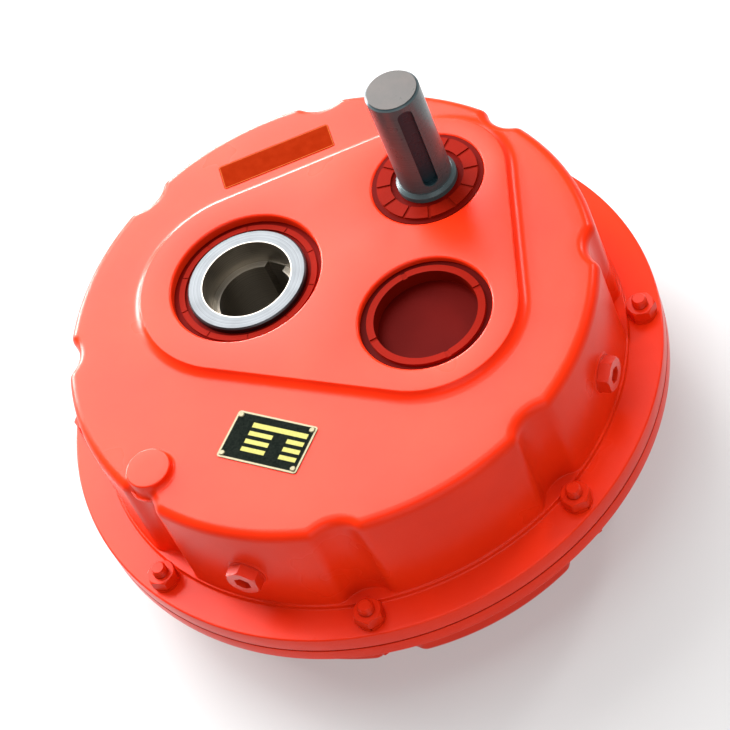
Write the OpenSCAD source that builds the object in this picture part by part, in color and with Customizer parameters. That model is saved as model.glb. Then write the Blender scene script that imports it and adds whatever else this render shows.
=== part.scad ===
// Shaft-mounted two-stage helical gear reducer in a round, split casing.
// Millimetres, +Z out of the front along the three parallel shafts. The origin is on the
// output hub's axis, in the middle of the gasket between the two casing halves.

/* [Casing] */
// Room between the teeth of the output gear and the wall of the drum
gear_room = 6.45; // [5:0.05:7]
// Width of the two bolted flanges beyond the drum
flange_w = 23.5; // [22:0.5:29]
// How far the drum wall leans in over its height
draft = 2; // [0.5:0.5:3]
// Rounding between the drum wall and its face
edge_r = 7; // [4:0.5:8]
// Thickness of the drum wall at its base
wall_t = 8.5; // [7.5:0.25:9]
// Thickness of the wall behind the reliefs beside the bolts
relief_wall_t = 7.5; // [5:0.5:8]
// Thickness of the end walls
end_wall_t = 10; // [8:0.5:12]
// Height of the front face above the gasket's middle
front_face_h = 91; // [89:0.5:94]
// Height of the rear face below the gasket's middle
rear_face_h = 63; // [61:0.5:66]
// Thickness of the front casing's flange
front_flange_t = 12.5; // [11:0.5:14]
// Thickness of the rear casing's flange
rear_flange_t = 10.5; // [10:0.5:13]
// Thickness of the casing gasket
gasket_t = 1; // [0.5:0.25:2]
// Width of the small ledge around the foot of the drum
ledge_w = 1.5; // [0.5:0.25:1.5]
// Height of that ledge above the flange
ledge_h = 3; // [1:0.5:5]
// Casing centre to the right of the output axis
casing_x = 51.6; // [50:0.2:53]
// Casing centre above the output axis
casing_y = -28.9; // [-30.5:0.2:-27.5]

/* [Raised pads] */
// Height of the pad around the shafts above its face
pad_h = 5; // [3:0.5:6]
// Radius of the concave fillet at the foot of a pad
pad_fillet = 8; // [7:0.5:9]
// Pad radius around the output hub
pad_output_r = 71; // [68:0.5:74]
// Pad radius around the intermediate shaft
pad_intermediate_r = 58.5; // [54:0.5:60]
// Pad radius around the input shaft
pad_input_r = 51; // [48:0.5:52]
// Radius of the round boss near the rim
boss_r = 14.3; // [10:0.1:16]
// Distance from the drum's upper edge to the middle of that boss
boss_inset = 18.8; // [18.5:0.1:24]
// Direction of that boss from the casing centre
boss_angle = -137.5; // [-140:0.5:-130]

/* [Casing fasteners] */
// Bolts around the flange
bolt_count = 8; // [6:1:10]
// Distance from the bolts to the edge of the flange
bolt_edge = 12; // [11:0.25:12]
// Nominal bolt diameter
bolt_d = 10; // [8:1:10]
// Length of a bolt under its head
bolt_l = 40; // [38:1:44]
// Radial clearance of a bolt in its hole
bolt_play = 0.5; // [0.25:0.25:1]
// Radius of the relief cut into the drum beside each bolt
relief_r = 20; // [17:0.5:20.5]
// Diameter of the two dowel pins
dowel_d = 8; // [6:1:10]
// Length of a dowel pin
dowel_l = 16; // [12:1:18]
// Direction of the first dowel from the casing centre
dowel_angle = 22.5; // [20:0.5:25]

/* [Oil plugs] */
// Plugs around the drum wall
plug_count = 4; // [2:1:4]
// Direction of the first plug from the casing centre
plug_angle = -22.5; // [-24:0.5:-21]
// Height of the plugs above the gasket's middle
plug_h = 48; // [42:0.5:56]
// Shank diameter of a plug
plug_d = 16; // [12:1:18]
// Length of that shank
plug_l = 10; // [8:0.5:12]
// Width across the flats of a plug's head
plug_flats = 20; // [18:0.5:22]
// Height of a plug's head
plug_head_h = 7.5; // [5:0.5:9]
// Thickness of the sealing washer under a plug
plug_washer_t = 1.5; // [1:0.25:2]

/* [Plates] */
// Width of the nameplate
nameplate_w = 56; // [50:1:62]
// Height of the nameplate
nameplate_l = 34.5; // [30:0.5:38]
// Thickness of the nameplate
nameplate_t = 0.8; // [0.5:0.1:1.5]
// Distance from the drum's upper edge to the middle of the nameplate
nameplate_inset = 66.5; // [60:0.5:68]
// Width of the sticker
label_w = 79; // [70:1:82]
// Height of the sticker
label_l = 21.5; // [18:0.5:22]
// Thickness of the sticker
label_t = 0.3; // [0.2:0.1:0.5]
// Distance from the drum's upper edge to the middle of the sticker
label_inset = 39.4; // [38.5:0.1:40.5]

/* [Gear train] */
// Normal module of the first stage
module_1 = 2.5; // [2.46:0.01:2.53]
// Normal module of the second stage
module_2 = 3; // [2.97:0.01:3.02]
// Teeth of the input pinion
teeth_1 = 21; // [20:1:22]
// Teeth of the intermediate gear
teeth_2 = 64; // [63:1:65]
// Teeth of the intermediate pinion
teeth_3 = 20; // [19:1:21]
// Teeth of the output gear
teeth_4 = 65; // [64:1:66]
// Helix angle of all four gears
helix = 11.25; // [9:0.25:13]
// Face width of the intermediate gear
face_1 = 26; // [22:1:28]
// Face width of the output gear
face_2 = 42; // [36:1:44]
// Thickness taken off each tooth so that the flanks run free
tooth_play = 0.16; // [0.12:0.02:0.3]
// Direction from the output axis to the intermediate axis
intermediate_angle = -27; // [-28:0.25:-26]
// Direction from the intermediate axis to the input axis
input_angle = 86; // [85:0.25:87]

/* [Bearings] */
// Outer radius of the output bearings
output_bearing_r = 62.5; // [60:0.5:63.5]
// Width of the output bearings
output_bearing_w = 22; // [19:0.5:22]
// Radius of the balls in the output bearings
output_ball_r = 6.75; // [6:0.25:7]
// Outer radius of the intermediate bearings
intermediate_bearing_r = 42.5; // [41:0.5:43.5]
// Width of the intermediate bearings
intermediate_bearing_w = 19; // [17:0.5:19.5]
// Radius of the balls in the intermediate bearings
intermediate_ball_r = 6; // [5:0.25:6.5]
// Outer radius of the input bearings
input_bearing_r = 40; // [39:0.5:41]
// Width of the input bearings
input_bearing_w = 18; // [16:0.5:18.5]
// Radius of the balls in the input bearings
input_ball_r = 6; // [5:0.25:6.5]
// Inner end of the front bearings above the gasket's middle
front_bearing_z = 57; // [56:0.5:58]
// Inner end of the rear bearings below the gasket's middle
rear_bearing_z = 29; // [28:0.5:30]
// Wall of the casing around a bearing
housing_t = 8; // [6:0.5:8.5]

/* [Output hub] */
// Radius of the hub's bore
bore_r = 25; // [22:0.5:26]
// Radius of the wider mouth at both ends of the bore
mouth_r = 30; // [29.5:0.5:33]
// Depth of that mouth
mouth_l = 20; // [12:1:28]
// Radius of the hub in its seals and bearings
hub_r = 40; // [39:0.25:40.5]
// How far the hub's seat for the output gear stands above its journals
gear_seat_step = 2.5; // [2:0.25:3]
// How far the hub's ends lie below the pads
hub_set_back = 2; // [1:0.5:4]
// Width of the keyway in the bore
bore_key_w = 14; // [12:1:14]
// Depth of the keyway beyond the bore
bore_key_d = 3.8; // [3:0.1:4]
// Direction of the keyway from the hub's axis
bore_key_angle = 60; // [0:5:120]

/* [Input shaft] */
// Radius of the shaft extension
extension_r = 17.5; // [16:0.25:18.5]
// Length of the shaft extension
extension_l = 80; // [76:1:110]
// Radius of the shaft in its seal and bearings
input_journal_r = 20; // [19.5:0.1:20.5]
// Height of the extension's shoulder above the pad
shoulder_h = 5; // [3:0.5:8]
// Width of the key slot
slot_w = 10; // [8:1:12]
// Depth of the key slot
slot_d = 5; // [4:0.5:6]
// Length of the key slot
slot_l = 70; // [40:1:72]
// Direction of the key slot from the shaft's axis
slot_angle = -71; // [-180:1:180]

/* [Intermediate shaft] */
// Radius of the shaft in its bearings
intermediate_journal_r = 22.5; // [21.5:0.25:23]
// How far the seat for the intermediate gear stands above the journals
wheel_seat_step = 2.5; // [2:0.25:3.5]

/* [Seals and closing caps] */
// Outer radius of the output seals
output_seal_r = 50.5; // [49:0.5:52]
// Outer radius of the input seal
input_seal_r = 37; // [35.5:0.5:37.5]
// Width of the seals
seal_w = 10; // [8:0.5:11]
// Depth of the output seals below their pads
output_seal_depth = 5; // [4:0.5:5.5]
// How far the input seal stands above its pad
input_seal_proud = 1; // [0:0.25:2]
// Width of the closing caps
cap_w = 12; // [10:0.5:12.5]
// Depth of a closing cap's rim below its pad
cap_depth = 2; // [1:0.5:3]

/* [Hidden] */
$fn = 96;
fit = 0.02;             // radial gap of pieces that are pressed or slid together
run = 0.05;             // gap of pieces that turn in each other
past = 1;               // how far a cut runs past a face
bite = 0.05;            // lets a fillet meet its face at a slight angle
seam = 0.1;             // tiny step that keeps two surfaces from grazing each other
pressure_angle = 20;

// Casing heights and radii
front_pad_z = front_face_h + pad_h;
rear_pad_z = rear_face_h + pad_h;
front_flange_z = gasket_t / 2 + front_flange_t;
rear_flange_z = gasket_t / 2 + rear_flange_t;

// Gear train, worked out in the plane across the shafts
function pitch_r(m, teeth) = m * teeth / (2 * cos(helix));
span_1 = pitch_r(module_1, teeth_1 + teeth_2);
span_2 = pitch_r(module_2, teeth_3 + teeth_4);
output_at = [0, 0];
intermediate_at = span_2 * [cos(intermediate_angle), sin(intermediate_angle)];
input_at = intermediate_at + span_1 * [cos(input_angle), sin(input_angle)];
gear_gap = 4;           // from the output gear to the rear bearings
spacer_l = 6;           // from the intermediate gear to its front bearing
pinion_over = 2;        // how far a pinion is wider than its gear, at each end
output_gear_z = -rear_bearing_z + gear_gap;
wheel_z = front_bearing_z - spacer_l - face_1;
output_gear_mid = output_gear_z + face_2 / 2;
wheel_mid = wheel_z + face_1 / 2;
pinion_1_w = face_1 + 2 * pinion_over;
pinion_2_w = face_2 + 2 * pinion_over;
root_depth = 1.25;      // tooth root below the pitch circle, in modules
gear_seat_r = hub_r + gear_seat_step;
wheel_seat_r = intermediate_journal_r + wheel_seat_step;

// The gears are sunk at both sides: metal left at the bore and at the rim, share of the width
gear_boss_t = 16;
gear_rim_t = 14;
gear_sink = 0.3;
wheel_boss_t = 14;
wheel_rim_t = 11;
wheel_sink = 0.28;

// The drum is sized by the output gear, which turns off its centre
gear_tip_r = pitch_r(module_2, teeth_4) + module_2;
cavity_r = norm([casing_x, casing_y]) + gear_tip_r + gear_room;
drum_r = cavity_r + wall_t;
top_r = drum_r - draft;
flange_r = drum_r + flange_w;
bolt_circle_r = flange_r - bolt_edge;
boss_at_r = top_r - boss_inset;

// Keys of the two gears: [width, height, depth in the shaft]
output_key = [22, 14, 9];
wheel_key = [14, 9, 5.5];
output_key_angle = 240;

// Fasteners in proportion to the bolt
nut_flats = 1.7 * bolt_d;
nut_h = 0.8 * bolt_d;
head_h = 0.64 * bolt_d;
lock_washer_t = 0.22 * bolt_d;
lock_washer_r = 0.91 * bolt_d;
tip_chamfer = 0.1 * bolt_d;

// Oil plugs, measured outward from the casing centre
plug_corner_r = plug_flats / 2 / cos(30);
plug_washer_r = plug_corner_r + 0.5;
spot_r = plug_washer_r + 1.5;
plug_socket_flats = 0.5 * plug_flats;
plug_socket_h = 0.7 * plug_head_h;

// Places on the front face, from the casing centre: [distance, direction, turn]
nameplate_at = [top_r - nameplate_inset, -111.46, -26.5];
label_at = [top_r - label_inset, 103.27, 12.5];
rivet_r = 1;
rivet_l = 4;
rivet_inset = 3;

// Edges and walls of the holes, seals and closing caps
hole_edge_r = 1.5;
seal_shell_t = 2;
seal_lip_t = 1.5;
seal_groove_d = 1.5;    // below the raised ring on the seal's face
cap_rim_inset = 4.5;    // from the cap's outside to its raised rim
cap_rim_t = 4.7;
cap_rim_h = 2;
cap_floor_t = 2.5;

// Circlips and the grooves they sit in
circlip_t = 3;
circlip_w = 4;
circlip_play = 0.1;
groove_d = 1.8;

// ---- helpers ----

module at(p) {
    translate([p[0], p[1], 0]) children();
}

module at_casing() {
    translate([casing_x, casing_y, 0]) children();
}

module around(count, first = 0) {
    for (i = [0 : count - 1])
        rotate([0, 0, first + i * 360 / count]) children();
}

// Copies at all bolts, at both dowels or at all plugs
module at_bolts() {
    at_casing() around(bolt_count) translate([bolt_circle_r, 0, 0]) children();
}

module at_dowels() {
    at_casing() around(2, dowel_angle) translate([bolt_circle_r, 0, 0]) children();
}

// At a plug, +Z points outward and z = 0 is the seat of its washer
module at_plugs() {
    at_casing() around(plug_count, plug_angle)
        translate([top_r, 0, plug_h]) rotate([0, 90, 0]) children();
}

module at_face(place) {
    at_casing() rotate([0, 0, place[1]]) translate([place[0], 0, front_face_h])
        rotate([0, 0, place[2] - place[1]]) children();
}

// The same piece drawn for the rear, where heights count downward
module at_rear() {
    mirror([0, 0, 1]) children();
}

module tube(r_in, r_out, z0, z1) {
    rotate_extrude() translate([r_in, z0]) square([r_out - r_in, z1 - z0]);
}

// Half section of a round bar with chamfered ends
module bar(r, z0, z1, c0 = 0, c1 = 0) {
    polygon([[0, z0], [r - c0, z0], [r, z0 + c0], [r, z1 - c1], [r - c1, z1], [0, z1]]);
}

// Hexagon with rounded-off corners on the faces named by the two chamfers
module hexagon(flats, h, c0 = 0, c1 = 0) {
    corner = flats / 2 / cos(30);
    intersection() {
        cylinder(r = corner, h = h, $fn = 6);
        rotate_extrude() bar(corner, 0, h, c0, c1);
    }
}

// Round-ended key or slot: length along Z, standing out along +X
module key_shape(w, h, l) {
    rotate([0, 90, 0]) linear_extrude(height = h) {
        square([l - w, w], center = true);
        translate([-(l - w) / 2, 0]) circle(d = w);
        translate([(l - w) / 2, 0]) circle(d = w);
    }
}

module rounded_plate(w, l, t, r) {
    linear_extrude(height = t) {
        square([w - 2 * r, l], center = true);
        square([w, l - 2 * r], center = true);
        for (x = [-1, 1], y = [-1, 1])
            translate([x * (w / 2 - r), y * (l / 2 - r)]) circle(r = r);
    }
}

// ---- pad: a rounded triangle around the three shafts, with a concave skirt ----

pad_at = [output_at, intermediate_at, input_at];
pad_radii = [pad_output_r, pad_intermediate_r, pad_input_r];

// Direction in which the straight edge from corner i to the next one faces
function edge_angle(i) =
    let (j = (i + 1) % 3, d = pad_at[j] - pad_at[i])
    atan2(d[1], d[0]) - 90 + asin((pad_radii[i] - pad_radii[j]) / norm(d));

function corner_point(i, a) = pad_at[i] + (pad_radii[i] + seam) * [cos(a), sin(a)];

// The skirt ends a little below the top, under the pad's upright edge
skirt_h = pad_h - 0.4;
skirt_w = sqrt(pow(pad_fillet, 2) - pow(pad_fillet - bite - skirt_h, 2));

module skirt() {
    difference() {
        translate([-past, -past]) square([skirt_w + past, skirt_h + past]);
        translate([skirt_w, pad_fillet - bite]) circle(r = pad_fillet);
    }
}

// The straight sides stand proud of the round corners by a hair, so that no surfaces graze
module pad(face_h) {
    outline = [for (i = [0 : 2], j = [i, (i + 1) % 3]) corner_point(j, edge_angle(i))];
    translate([0, 0, face_h - past]) linear_extrude(height = pad_h + past) polygon(outline);
    for (i = [0 : 2]) {
        a = edge_angle(i);
        start = corner_point(i, a);
        end = corner_point((i + 1) % 3, a);
        translate([end[0], end[1], face_h]) rotate([90, 0, a]) translate([seam, 0, 0])
            linear_extrude(height = norm(end - start)) skirt();
        at(pad_at[i]) translate([0, 0, face_h]) rotate_extrude() {
            translate([0, -past]) square([pad_radii[i], pad_h + past]);
            translate([pad_radii[i] + seam, 0]) skirt();
        }
    }
}

// ---- casing halves, both drawn with the gasket face down ----

module drum_section(face_h, flange_z) {
    translate([0, gasket_t / 2]) square([flange_r, flange_z - gasket_t / 2]);
    translate([0, flange_z - past]) square([drum_r + ledge_w, ledge_h + past]);
    polygon([[0, flange_z], [drum_r, flange_z], [top_r, face_h - edge_r],
        [top_r - edge_r, face_h - edge_r], [top_r - edge_r, face_h], [0, face_h]]);
    translate([top_r - edge_r, face_h - edge_r]) circle(r = edge_r);
}

// Relief beside a bolt: straight up from a hair inside the ledge, flaring out into the face
module relief(face_h, flange_z) {
    floor_z = flange_z + ledge_h - 3 * seam;
    flare_z = face_h - edge_r + bite;
    rotate_extrude() {
        translate([0, floor_z]) square([relief_r, face_h + past - floor_z]);
        difference() {
            translate([relief_r, flare_z]) square([edge_r, edge_r + past]);
            translate([relief_r + edge_r, flare_z]) circle(r = edge_r);
        }
    }
}

// The room inside, kept clear of the walls behind the reliefs
module cavity(h) {
    difference() {
        at_casing() translate([0, 0, -past]) cylinder(r = cavity_r, h = h + past);
        at_bolts() translate([0, 0, -2 * past])
            cylinder(r = relief_r + relief_wall_t, h = h + 3 * past);
    }
}

// Rounding where a hole of radius r comes out of the pad
module rounded_mouth(r, z) {
    rotate_extrude() difference() {
        translate([r - past, z - hole_edge_r])
            square([hole_edge_r + past, hole_edge_r + past]);
        translate([r + hole_edge_r, z - hole_edge_r + bite]) circle(r = hole_edge_r);
    }
}

// seats: for each shaft [place, hole radius, bearing radius, inner and outer bearing end]
module casing_half(face_h, flange_z, seats) {
    difference() {
        union() {
            difference() {
                at_casing() rotate_extrude() drum_section(face_h, flange_z);
                at_bolts() relief(face_h, flange_z);
                cavity(face_h - end_wall_t);
            }
            for (s = seats)
                at(s[0]) translate([0, 0, s[3]])
                    cylinder(r = s[2] + housing_t, h = face_h - end_wall_t / 2 - s[3]);
            pad(face_h);
            children();
        }
        for (s = seats) at(s[0]) {
            cylinder(r = s[1] + fit, h = face_h + pad_h + past);
            translate([0, 0, s[3] - past]) cylinder(r = s[2] + fit, h = s[4] - s[3] + past);
            rounded_mouth(s[1] + fit, face_h + pad_h);
        }
        at_bolts() cylinder(d = bolt_d + 2 * bolt_play, h = flange_z + past);
        at_dowels() cylinder(d = dowel_d + 2 * fit, h = dowel_l / 2 + fit);
    }
}

// Groove for an internal circlip
module bore_groove(r, z) {
    translate([0, 0, z])
        cylinder(r = r + fit + groove_d, h = circlip_t + circlip_play);
}

module front_casing() color("orangered") {
    difference() {
        casing_half(front_face_h, front_flange_z, [
            [output_at, output_seal_r, output_bearing_r, front_bearing_z,
                front_bearing_z + output_bearing_w],
            [intermediate_at, intermediate_bearing_r, intermediate_bearing_r,
                front_bearing_z, front_bearing_z + intermediate_bearing_w],
            [input_at, input_seal_r, input_bearing_r, front_bearing_z,
                front_bearing_z + input_bearing_w]])
            at_casing() rotate([0, 0, boss_angle])
                translate([boss_at_r, 0, front_face_h - edge_r])
                cylinder(r = boss_r, h = edge_r + pad_h);
        at(intermediate_at)
            bore_groove(intermediate_bearing_r, front_bearing_z + intermediate_bearing_w);
        at_plugs() {
            cylinder(r = spot_r, h = 2 * past + draft);
            translate([0, 0, -wall_t - past]) cylinder(d = plug_d + 2 * fit, h = 2 * wall_t);
        }
        at_face(nameplate_at) rivet_places() translate([0, 0, -rivet_l - fit])
            cylinder(r = rivet_r + fit, h = rivet_l + past);
    }
}

module rear_casing() color("orangered") {
    at_rear() difference() {
        casing_half(rear_face_h, rear_flange_z, [
            [output_at, output_seal_r, output_bearing_r, rear_bearing_z,
                rear_bearing_z + output_bearing_w],
            [intermediate_at, intermediate_bearing_r, intermediate_bearing_r,
                rear_bearing_z, rear_bearing_z + intermediate_bearing_w],
            [input_at, input_bearing_r, input_bearing_r, rear_bearing_z,
                rear_bearing_z + input_bearing_w]]);
        at(intermediate_at)
            bore_groove(intermediate_bearing_r, rear_bearing_z + intermediate_bearing_w);
        at(input_at) bore_groove(input_bearing_r, rear_bearing_z + input_bearing_w);
    }
}

module casing_gasket() color("dimgray") {
    difference() {
        at_casing() translate([0, 0, -gasket_t / 2]) cylinder(r = flange_r, h = gasket_t);
        translate([0, 0, -gasket_t / 2]) cavity(2 * gasket_t);
        at_bolts() translate([0, 0, -gasket_t])
            cylinder(d = bolt_d + 2 * bolt_play, h = 2 * gasket_t);
        at_dowels() translate([0, 0, -gasket_t])
            cylinder(d = dowel_d + 2 * fit, h = 2 * gasket_t);
    }
}

// ---- casing fasteners ----

module casing_bolts() color("orangered") {
    at_bolts() translate([0, 0, -rear_flange_z]) {
        translate([0, 0, -head_h]) hexagon(nut_flats, head_h, 0.1 * nut_flats, 0);
        rotate_extrude() bar(bolt_d / 2, -past, bolt_l, 0, tip_chamfer);
    }
}

module casing_nuts() color("orangered") {
    at_bolts() translate([0, 0, front_flange_z + lock_washer_t]) difference() {
        hexagon(nut_flats, nut_h, 0.08 * nut_flats, 0.08 * nut_flats);
        translate([0, 0, -past]) cylinder(d = bolt_d + 2 * fit, h = nut_h + 2 * past);
    }
}

module casing_lock_washers() color("orangered") {
    at_bolts() difference() {
        tube(bolt_d / 2 + 0.2, lock_washer_r, front_flange_z, front_flange_z + lock_washer_t);
        translate([0, -0.6, front_flange_z - past])
            cube([2 * lock_washer_r, 1.2, lock_washer_t + 2 * past]);
    }
}

module dowel_pins() color("silver") {
    at_dowels() rotate_extrude() bar(dowel_d / 2, -dowel_l / 2, dowel_l / 2, 0.8, 0.8);
}

module oil_plugs() color("orangered") {
    at_plugs() difference() {
        union() {
            translate([0, 0, plug_washer_t])
                hexagon(plug_flats, plug_head_h, 0, 0.06 * plug_flats);
            rotate_extrude() bar(plug_d / 2, -plug_l, plug_washer_t + past, 1, 0);
        }
        translate([0, 0, plug_washer_t + plug_head_h - plug_socket_h])
            cylinder(r = plug_socket_flats / 2 / cos(30), h = plug_head_h, $fn = 6);
    }
}

module oil_plug_washers() color("orangered") {
    at_plugs() tube(plug_d / 2 + fit, plug_washer_r, 0, plug_washer_t);
}

// ---- plates on the front face ----

module rivet_places() {
    for (x = [-1, 1], y = [-1, 1])
        translate([x * (nameplate_w / 2 - rivet_inset),
            y * (nameplate_l / 2 - rivet_inset), 0]) children();
}

module nameplate() color("goldenrod") {
    at_face(nameplate_at) difference() {
        rounded_plate(nameplate_w, nameplate_l, nameplate_t, 2);
        rivet_places() translate([0, 0, -past])
            cylinder(r = rivet_r + fit, h = nameplate_t + 2 * past);
    }
}

module nameplate_rivets() color("goldenrod") {
    at_face(nameplate_at) rivet_places() rotate_extrude() {
        translate([0, -rivet_l]) square([rivet_r, rivet_l + nameplate_t + 0.2]);
        translate([0, nameplate_t]) bar(1.8 * rivet_r, 0, 0.7 * rivet_r, 0, 0.4 * rivet_r);
    }
}

module label_plate() color("orangered") {
    at_face(label_at) rounded_plate(label_w, label_l, label_t, 2);
}

// ---- seals and closing caps ----

// Shaft seal from z0 up to its front face: a raised ring between two grooves in front, and
// an open back with the lip around the shaft. ring_in and ring_out bound the raised ring.
module shaft_seal(r_shaft, r_out, ring_in, ring_out, z0) {
    bore = r_shaft + run;
    floor_z = seal_w - seal_groove_d;
    back_z = floor_z - seal_shell_t;
    difference() {
        rotate_extrude() translate([0, z0]) polygon([[bore, 0], [bore + seal_lip_t, 0],
            [bore + seal_lip_t, back_z], [r_out - seal_shell_t, back_z],
            [r_out - seal_shell_t, 0], [r_out, 0], [r_out, floor_z], [ring_out, floor_z],
            [ring_out, seal_w], [ring_in, seal_w], [ring_in, floor_z], [bore, floor_z]]);
        children();
    }
}

// Radial marks across the raised ring
module seal_marks(count, first, r_in, r_out, w, d, z) {
    around(count, first) translate([r_in - past, -w / 2, z - d])
        cube([r_out - r_in + 2 * past, w, d + past]);
}

output_ring = [hub_r + 0.26 * (output_seal_r - hub_r), hub_r + 0.63 * (output_seal_r - hub_r)];

module output_seal(z1) {
    shaft_seal(hub_r, output_seal_r, output_ring[0], output_ring[1], z1 - seal_w)
        seal_marks(10, -90, output_ring[0], output_ring[1], 1, 0.5, z1);
}

module output_front_seal() color("orangered") {
    output_seal(front_pad_z - output_seal_depth);
}

module output_rear_seal() color("orangered") {
    at_rear() output_seal(rear_pad_z - output_seal_depth);
}

module input_seal() color("orangered") {
    z1 = front_pad_z + input_seal_proud;
    r_in = input_journal_r + 0.26 * (input_seal_r - input_journal_r);
    r_out = input_journal_r + 0.8 * (input_seal_r - input_journal_r);
    at(input_at)
        shaft_seal(input_journal_r, input_seal_r, r_in, r_out, z1 - seal_w)
        seal_marks(12, 0, r_in, r_out, 2, 0.8, z1);
}

// Closing cap with its dish outward; z1 is the top of its rim
module closing_cap(r, z1) {
    rim_out = r - cap_rim_inset;
    rim_in = rim_out - cap_rim_t;
    difference() {
        rotate_extrude() translate([0, z1]) polygon([[0, -cap_w], [r, -cap_w],
            [r, -cap_rim_h], [rim_out, -cap_rim_h], [rim_out, 0], [rim_in, 0],
            [rim_in, cap_floor_t - cap_w], [0, cap_floor_t - cap_w]]);
        seal_marks(4, 20, rim_in, rim_out, 3, 0.8, z1);
    }
}

module intermediate_front_cap() color("orangered") {
    at(intermediate_at) closing_cap(intermediate_bearing_r, front_pad_z - cap_depth);
}

module intermediate_rear_cap() color("orangered") {
    at_rear() at(intermediate_at) closing_cap(intermediate_bearing_r, rear_pad_z - cap_depth);
}

module input_rear_cap() color("orangered") {
    at_rear() at(input_at) closing_cap(input_bearing_r, rear_pad_z - cap_depth);
}

// ---- circlips ----

// Internal circlip in a groove around a bore of radius r, with two eyes for pliers
module bore_circlip(r, z) {
    r_out = r + groove_d - 0.1;
    translate([0, 0, z + circlip_play / 2]) difference() {
        union() {
            tube(r_out - circlip_w, r_out, 0, circlip_t);
            for (a = [-9, 9]) rotate([0, 0, a])
                translate([r_out - circlip_w - 1.5, 0, 0]) cylinder(r = 3.2, h = circlip_t);
        }
        translate([r - 3 * circlip_w, -2, -past])
            cube([6 * circlip_w, 4, circlip_t + 2 * past]);
        for (a = [-9, 9]) rotate([0, 0, a])
            translate([r_out - circlip_w - 1.5, 0, -past])
            cylinder(r = 1.25, h = circlip_t + 2 * past);
    }
}

module intermediate_bore_circlips() color("darkgray") {
    at(intermediate_at) {
        bore_circlip(intermediate_bearing_r, front_bearing_z + intermediate_bearing_w);
        at_rear()
            bore_circlip(intermediate_bearing_r, rear_bearing_z + intermediate_bearing_w);
    }
}

module input_bore_circlip() color("darkgray") {
    at(input_at) at_rear() bore_circlip(input_bearing_r, rear_bearing_z + input_bearing_w);
}

// External circlip on a shaft of radius r
hub_circlip_t = 2.5;
hub_groove_d = 1.75;

module shaft_circlip(r, z) {
    difference() {
        tube(r - hub_groove_d + 0.1, r + 3.5, z, z + hub_circlip_t);
        translate([0, -3, z - past]) cube([2 * r, 6, hub_circlip_t + 2 * past]);
    }
}

module output_gear_circlips() color("darkgray") {
    shaft_circlip(gear_seat_r, output_gear_z - hub_circlip_t);
    shaft_circlip(gear_seat_r, output_gear_z + face_2);
}

// ---- ball bearings: [bore radius, outer radius, width, balls, radius of a ball] ----

output_bearing = [hub_r, output_bearing_r, output_bearing_w, 18, output_ball_r];
intermediate_bearing = [intermediate_journal_r, intermediate_bearing_r,
    intermediate_bearing_w, 13, intermediate_ball_r];
input_bearing = [input_journal_r, input_bearing_r, input_bearing_w, 12, input_ball_r];

function ball_r(b) = b[4];
function ball_track_r(b) = (b[0] + b[1]) / 2;

module race(b) {
    translate([ball_track_r(b), b[2] / 2]) circle(r = ball_r(b) + run);
}

module outer_ring(b) {
    land = ball_track_r(b) + 0.45 * ball_r(b);
    rotate_extrude() difference() {
        translate([land, 0]) square([b[1] - land, b[2]]);
        race(b);
    }
}

module inner_ring(b) {
    land = ball_track_r(b) - 0.45 * ball_r(b);
    rotate_extrude() difference() {
        translate([b[0] + fit, 0]) square([land - b[0] - fit, b[2]]);
        race(b);
    }
}

module cage(b) {
    half_t = 0.25 * ball_r(b);
    rail = 0.1 * b[2];
    difference() {
        tube(ball_track_r(b) - half_t, ball_track_r(b) + half_t, rail, b[2] - rail);
        around(b[3]) translate([ball_track_r(b) - ball_r(b), 0, b[2] / 2])
            rotate([0, 90, 0]) cylinder(r = ball_r(b) + 2 * run, h = 2 * ball_r(b));
    }
}

module balls(b) {
    around(b[3]) translate([ball_track_r(b), 0, b[2] / 2]) sphere(r = ball_r(b));
}

module at_front_bearing(p) {
    at(p) translate([0, 0, front_bearing_z]) children();
}

module at_rear_bearing(p) {
    at(p) at_rear() translate([0, 0, rear_bearing_z]) children();
}

module both_bearings(p) {
    at_front_bearing(p) children();
    at_rear_bearing(p) children();
}

module output_bearing_outer_rings() color("gainsboro") {
    both_bearings(output_at) outer_ring(output_bearing);
}

module output_bearing_inner_rings() color("gainsboro") {
    both_bearings(output_at) inner_ring(output_bearing);
}

module output_bearing_cages() color("goldenrod") {
    both_bearings(output_at) cage(output_bearing);
}

module output_bearing_balls() color("silver") {
    both_bearings(output_at) balls(output_bearing);
}

module intermediate_bearing_outer_rings() color("gainsboro") {
    both_bearings(intermediate_at) outer_ring(intermediate_bearing);
}

module intermediate_bearing_inner_rings() color("gainsboro") {
    both_bearings(intermediate_at) inner_ring(intermediate_bearing);
}

module intermediate_bearing_cages() color("goldenrod") {
    both_bearings(intermediate_at) cage(intermediate_bearing);
}

module intermediate_bearing_balls() color("silver") {
    both_bearings(intermediate_at) balls(intermediate_bearing);
}

module input_bearing_outer_rings() color("gainsboro") {
    both_bearings(input_at) outer_ring(input_bearing);
}

module input_bearing_inner_rings() color("gainsboro") {
    both_bearings(input_at) inner_ring(input_bearing);
}

module input_bearing_cages() color("goldenrod") {
    both_bearings(input_at) cage(input_bearing);
}

module input_bearing_balls() color("silver") {
    both_bearings(input_at) balls(input_bearing);
}

// ---- helical gears ----

transverse_angle = atan(tan(pressure_angle) / cos(helix));

// Involute function in degrees
function inv(a) = tan(a) * 180 / PI - a;

// Half the angle that a tooth spans at radius r
function half_tooth(r, m, teeth) =
    let (p = pitch_r(m, teeth), base = p * cos(transverse_angle))
    90 / teeth - tooth_play / 2 / p * 180 / PI
    + inv(transverse_angle) - inv(acos(min(1, base / r)));

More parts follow.
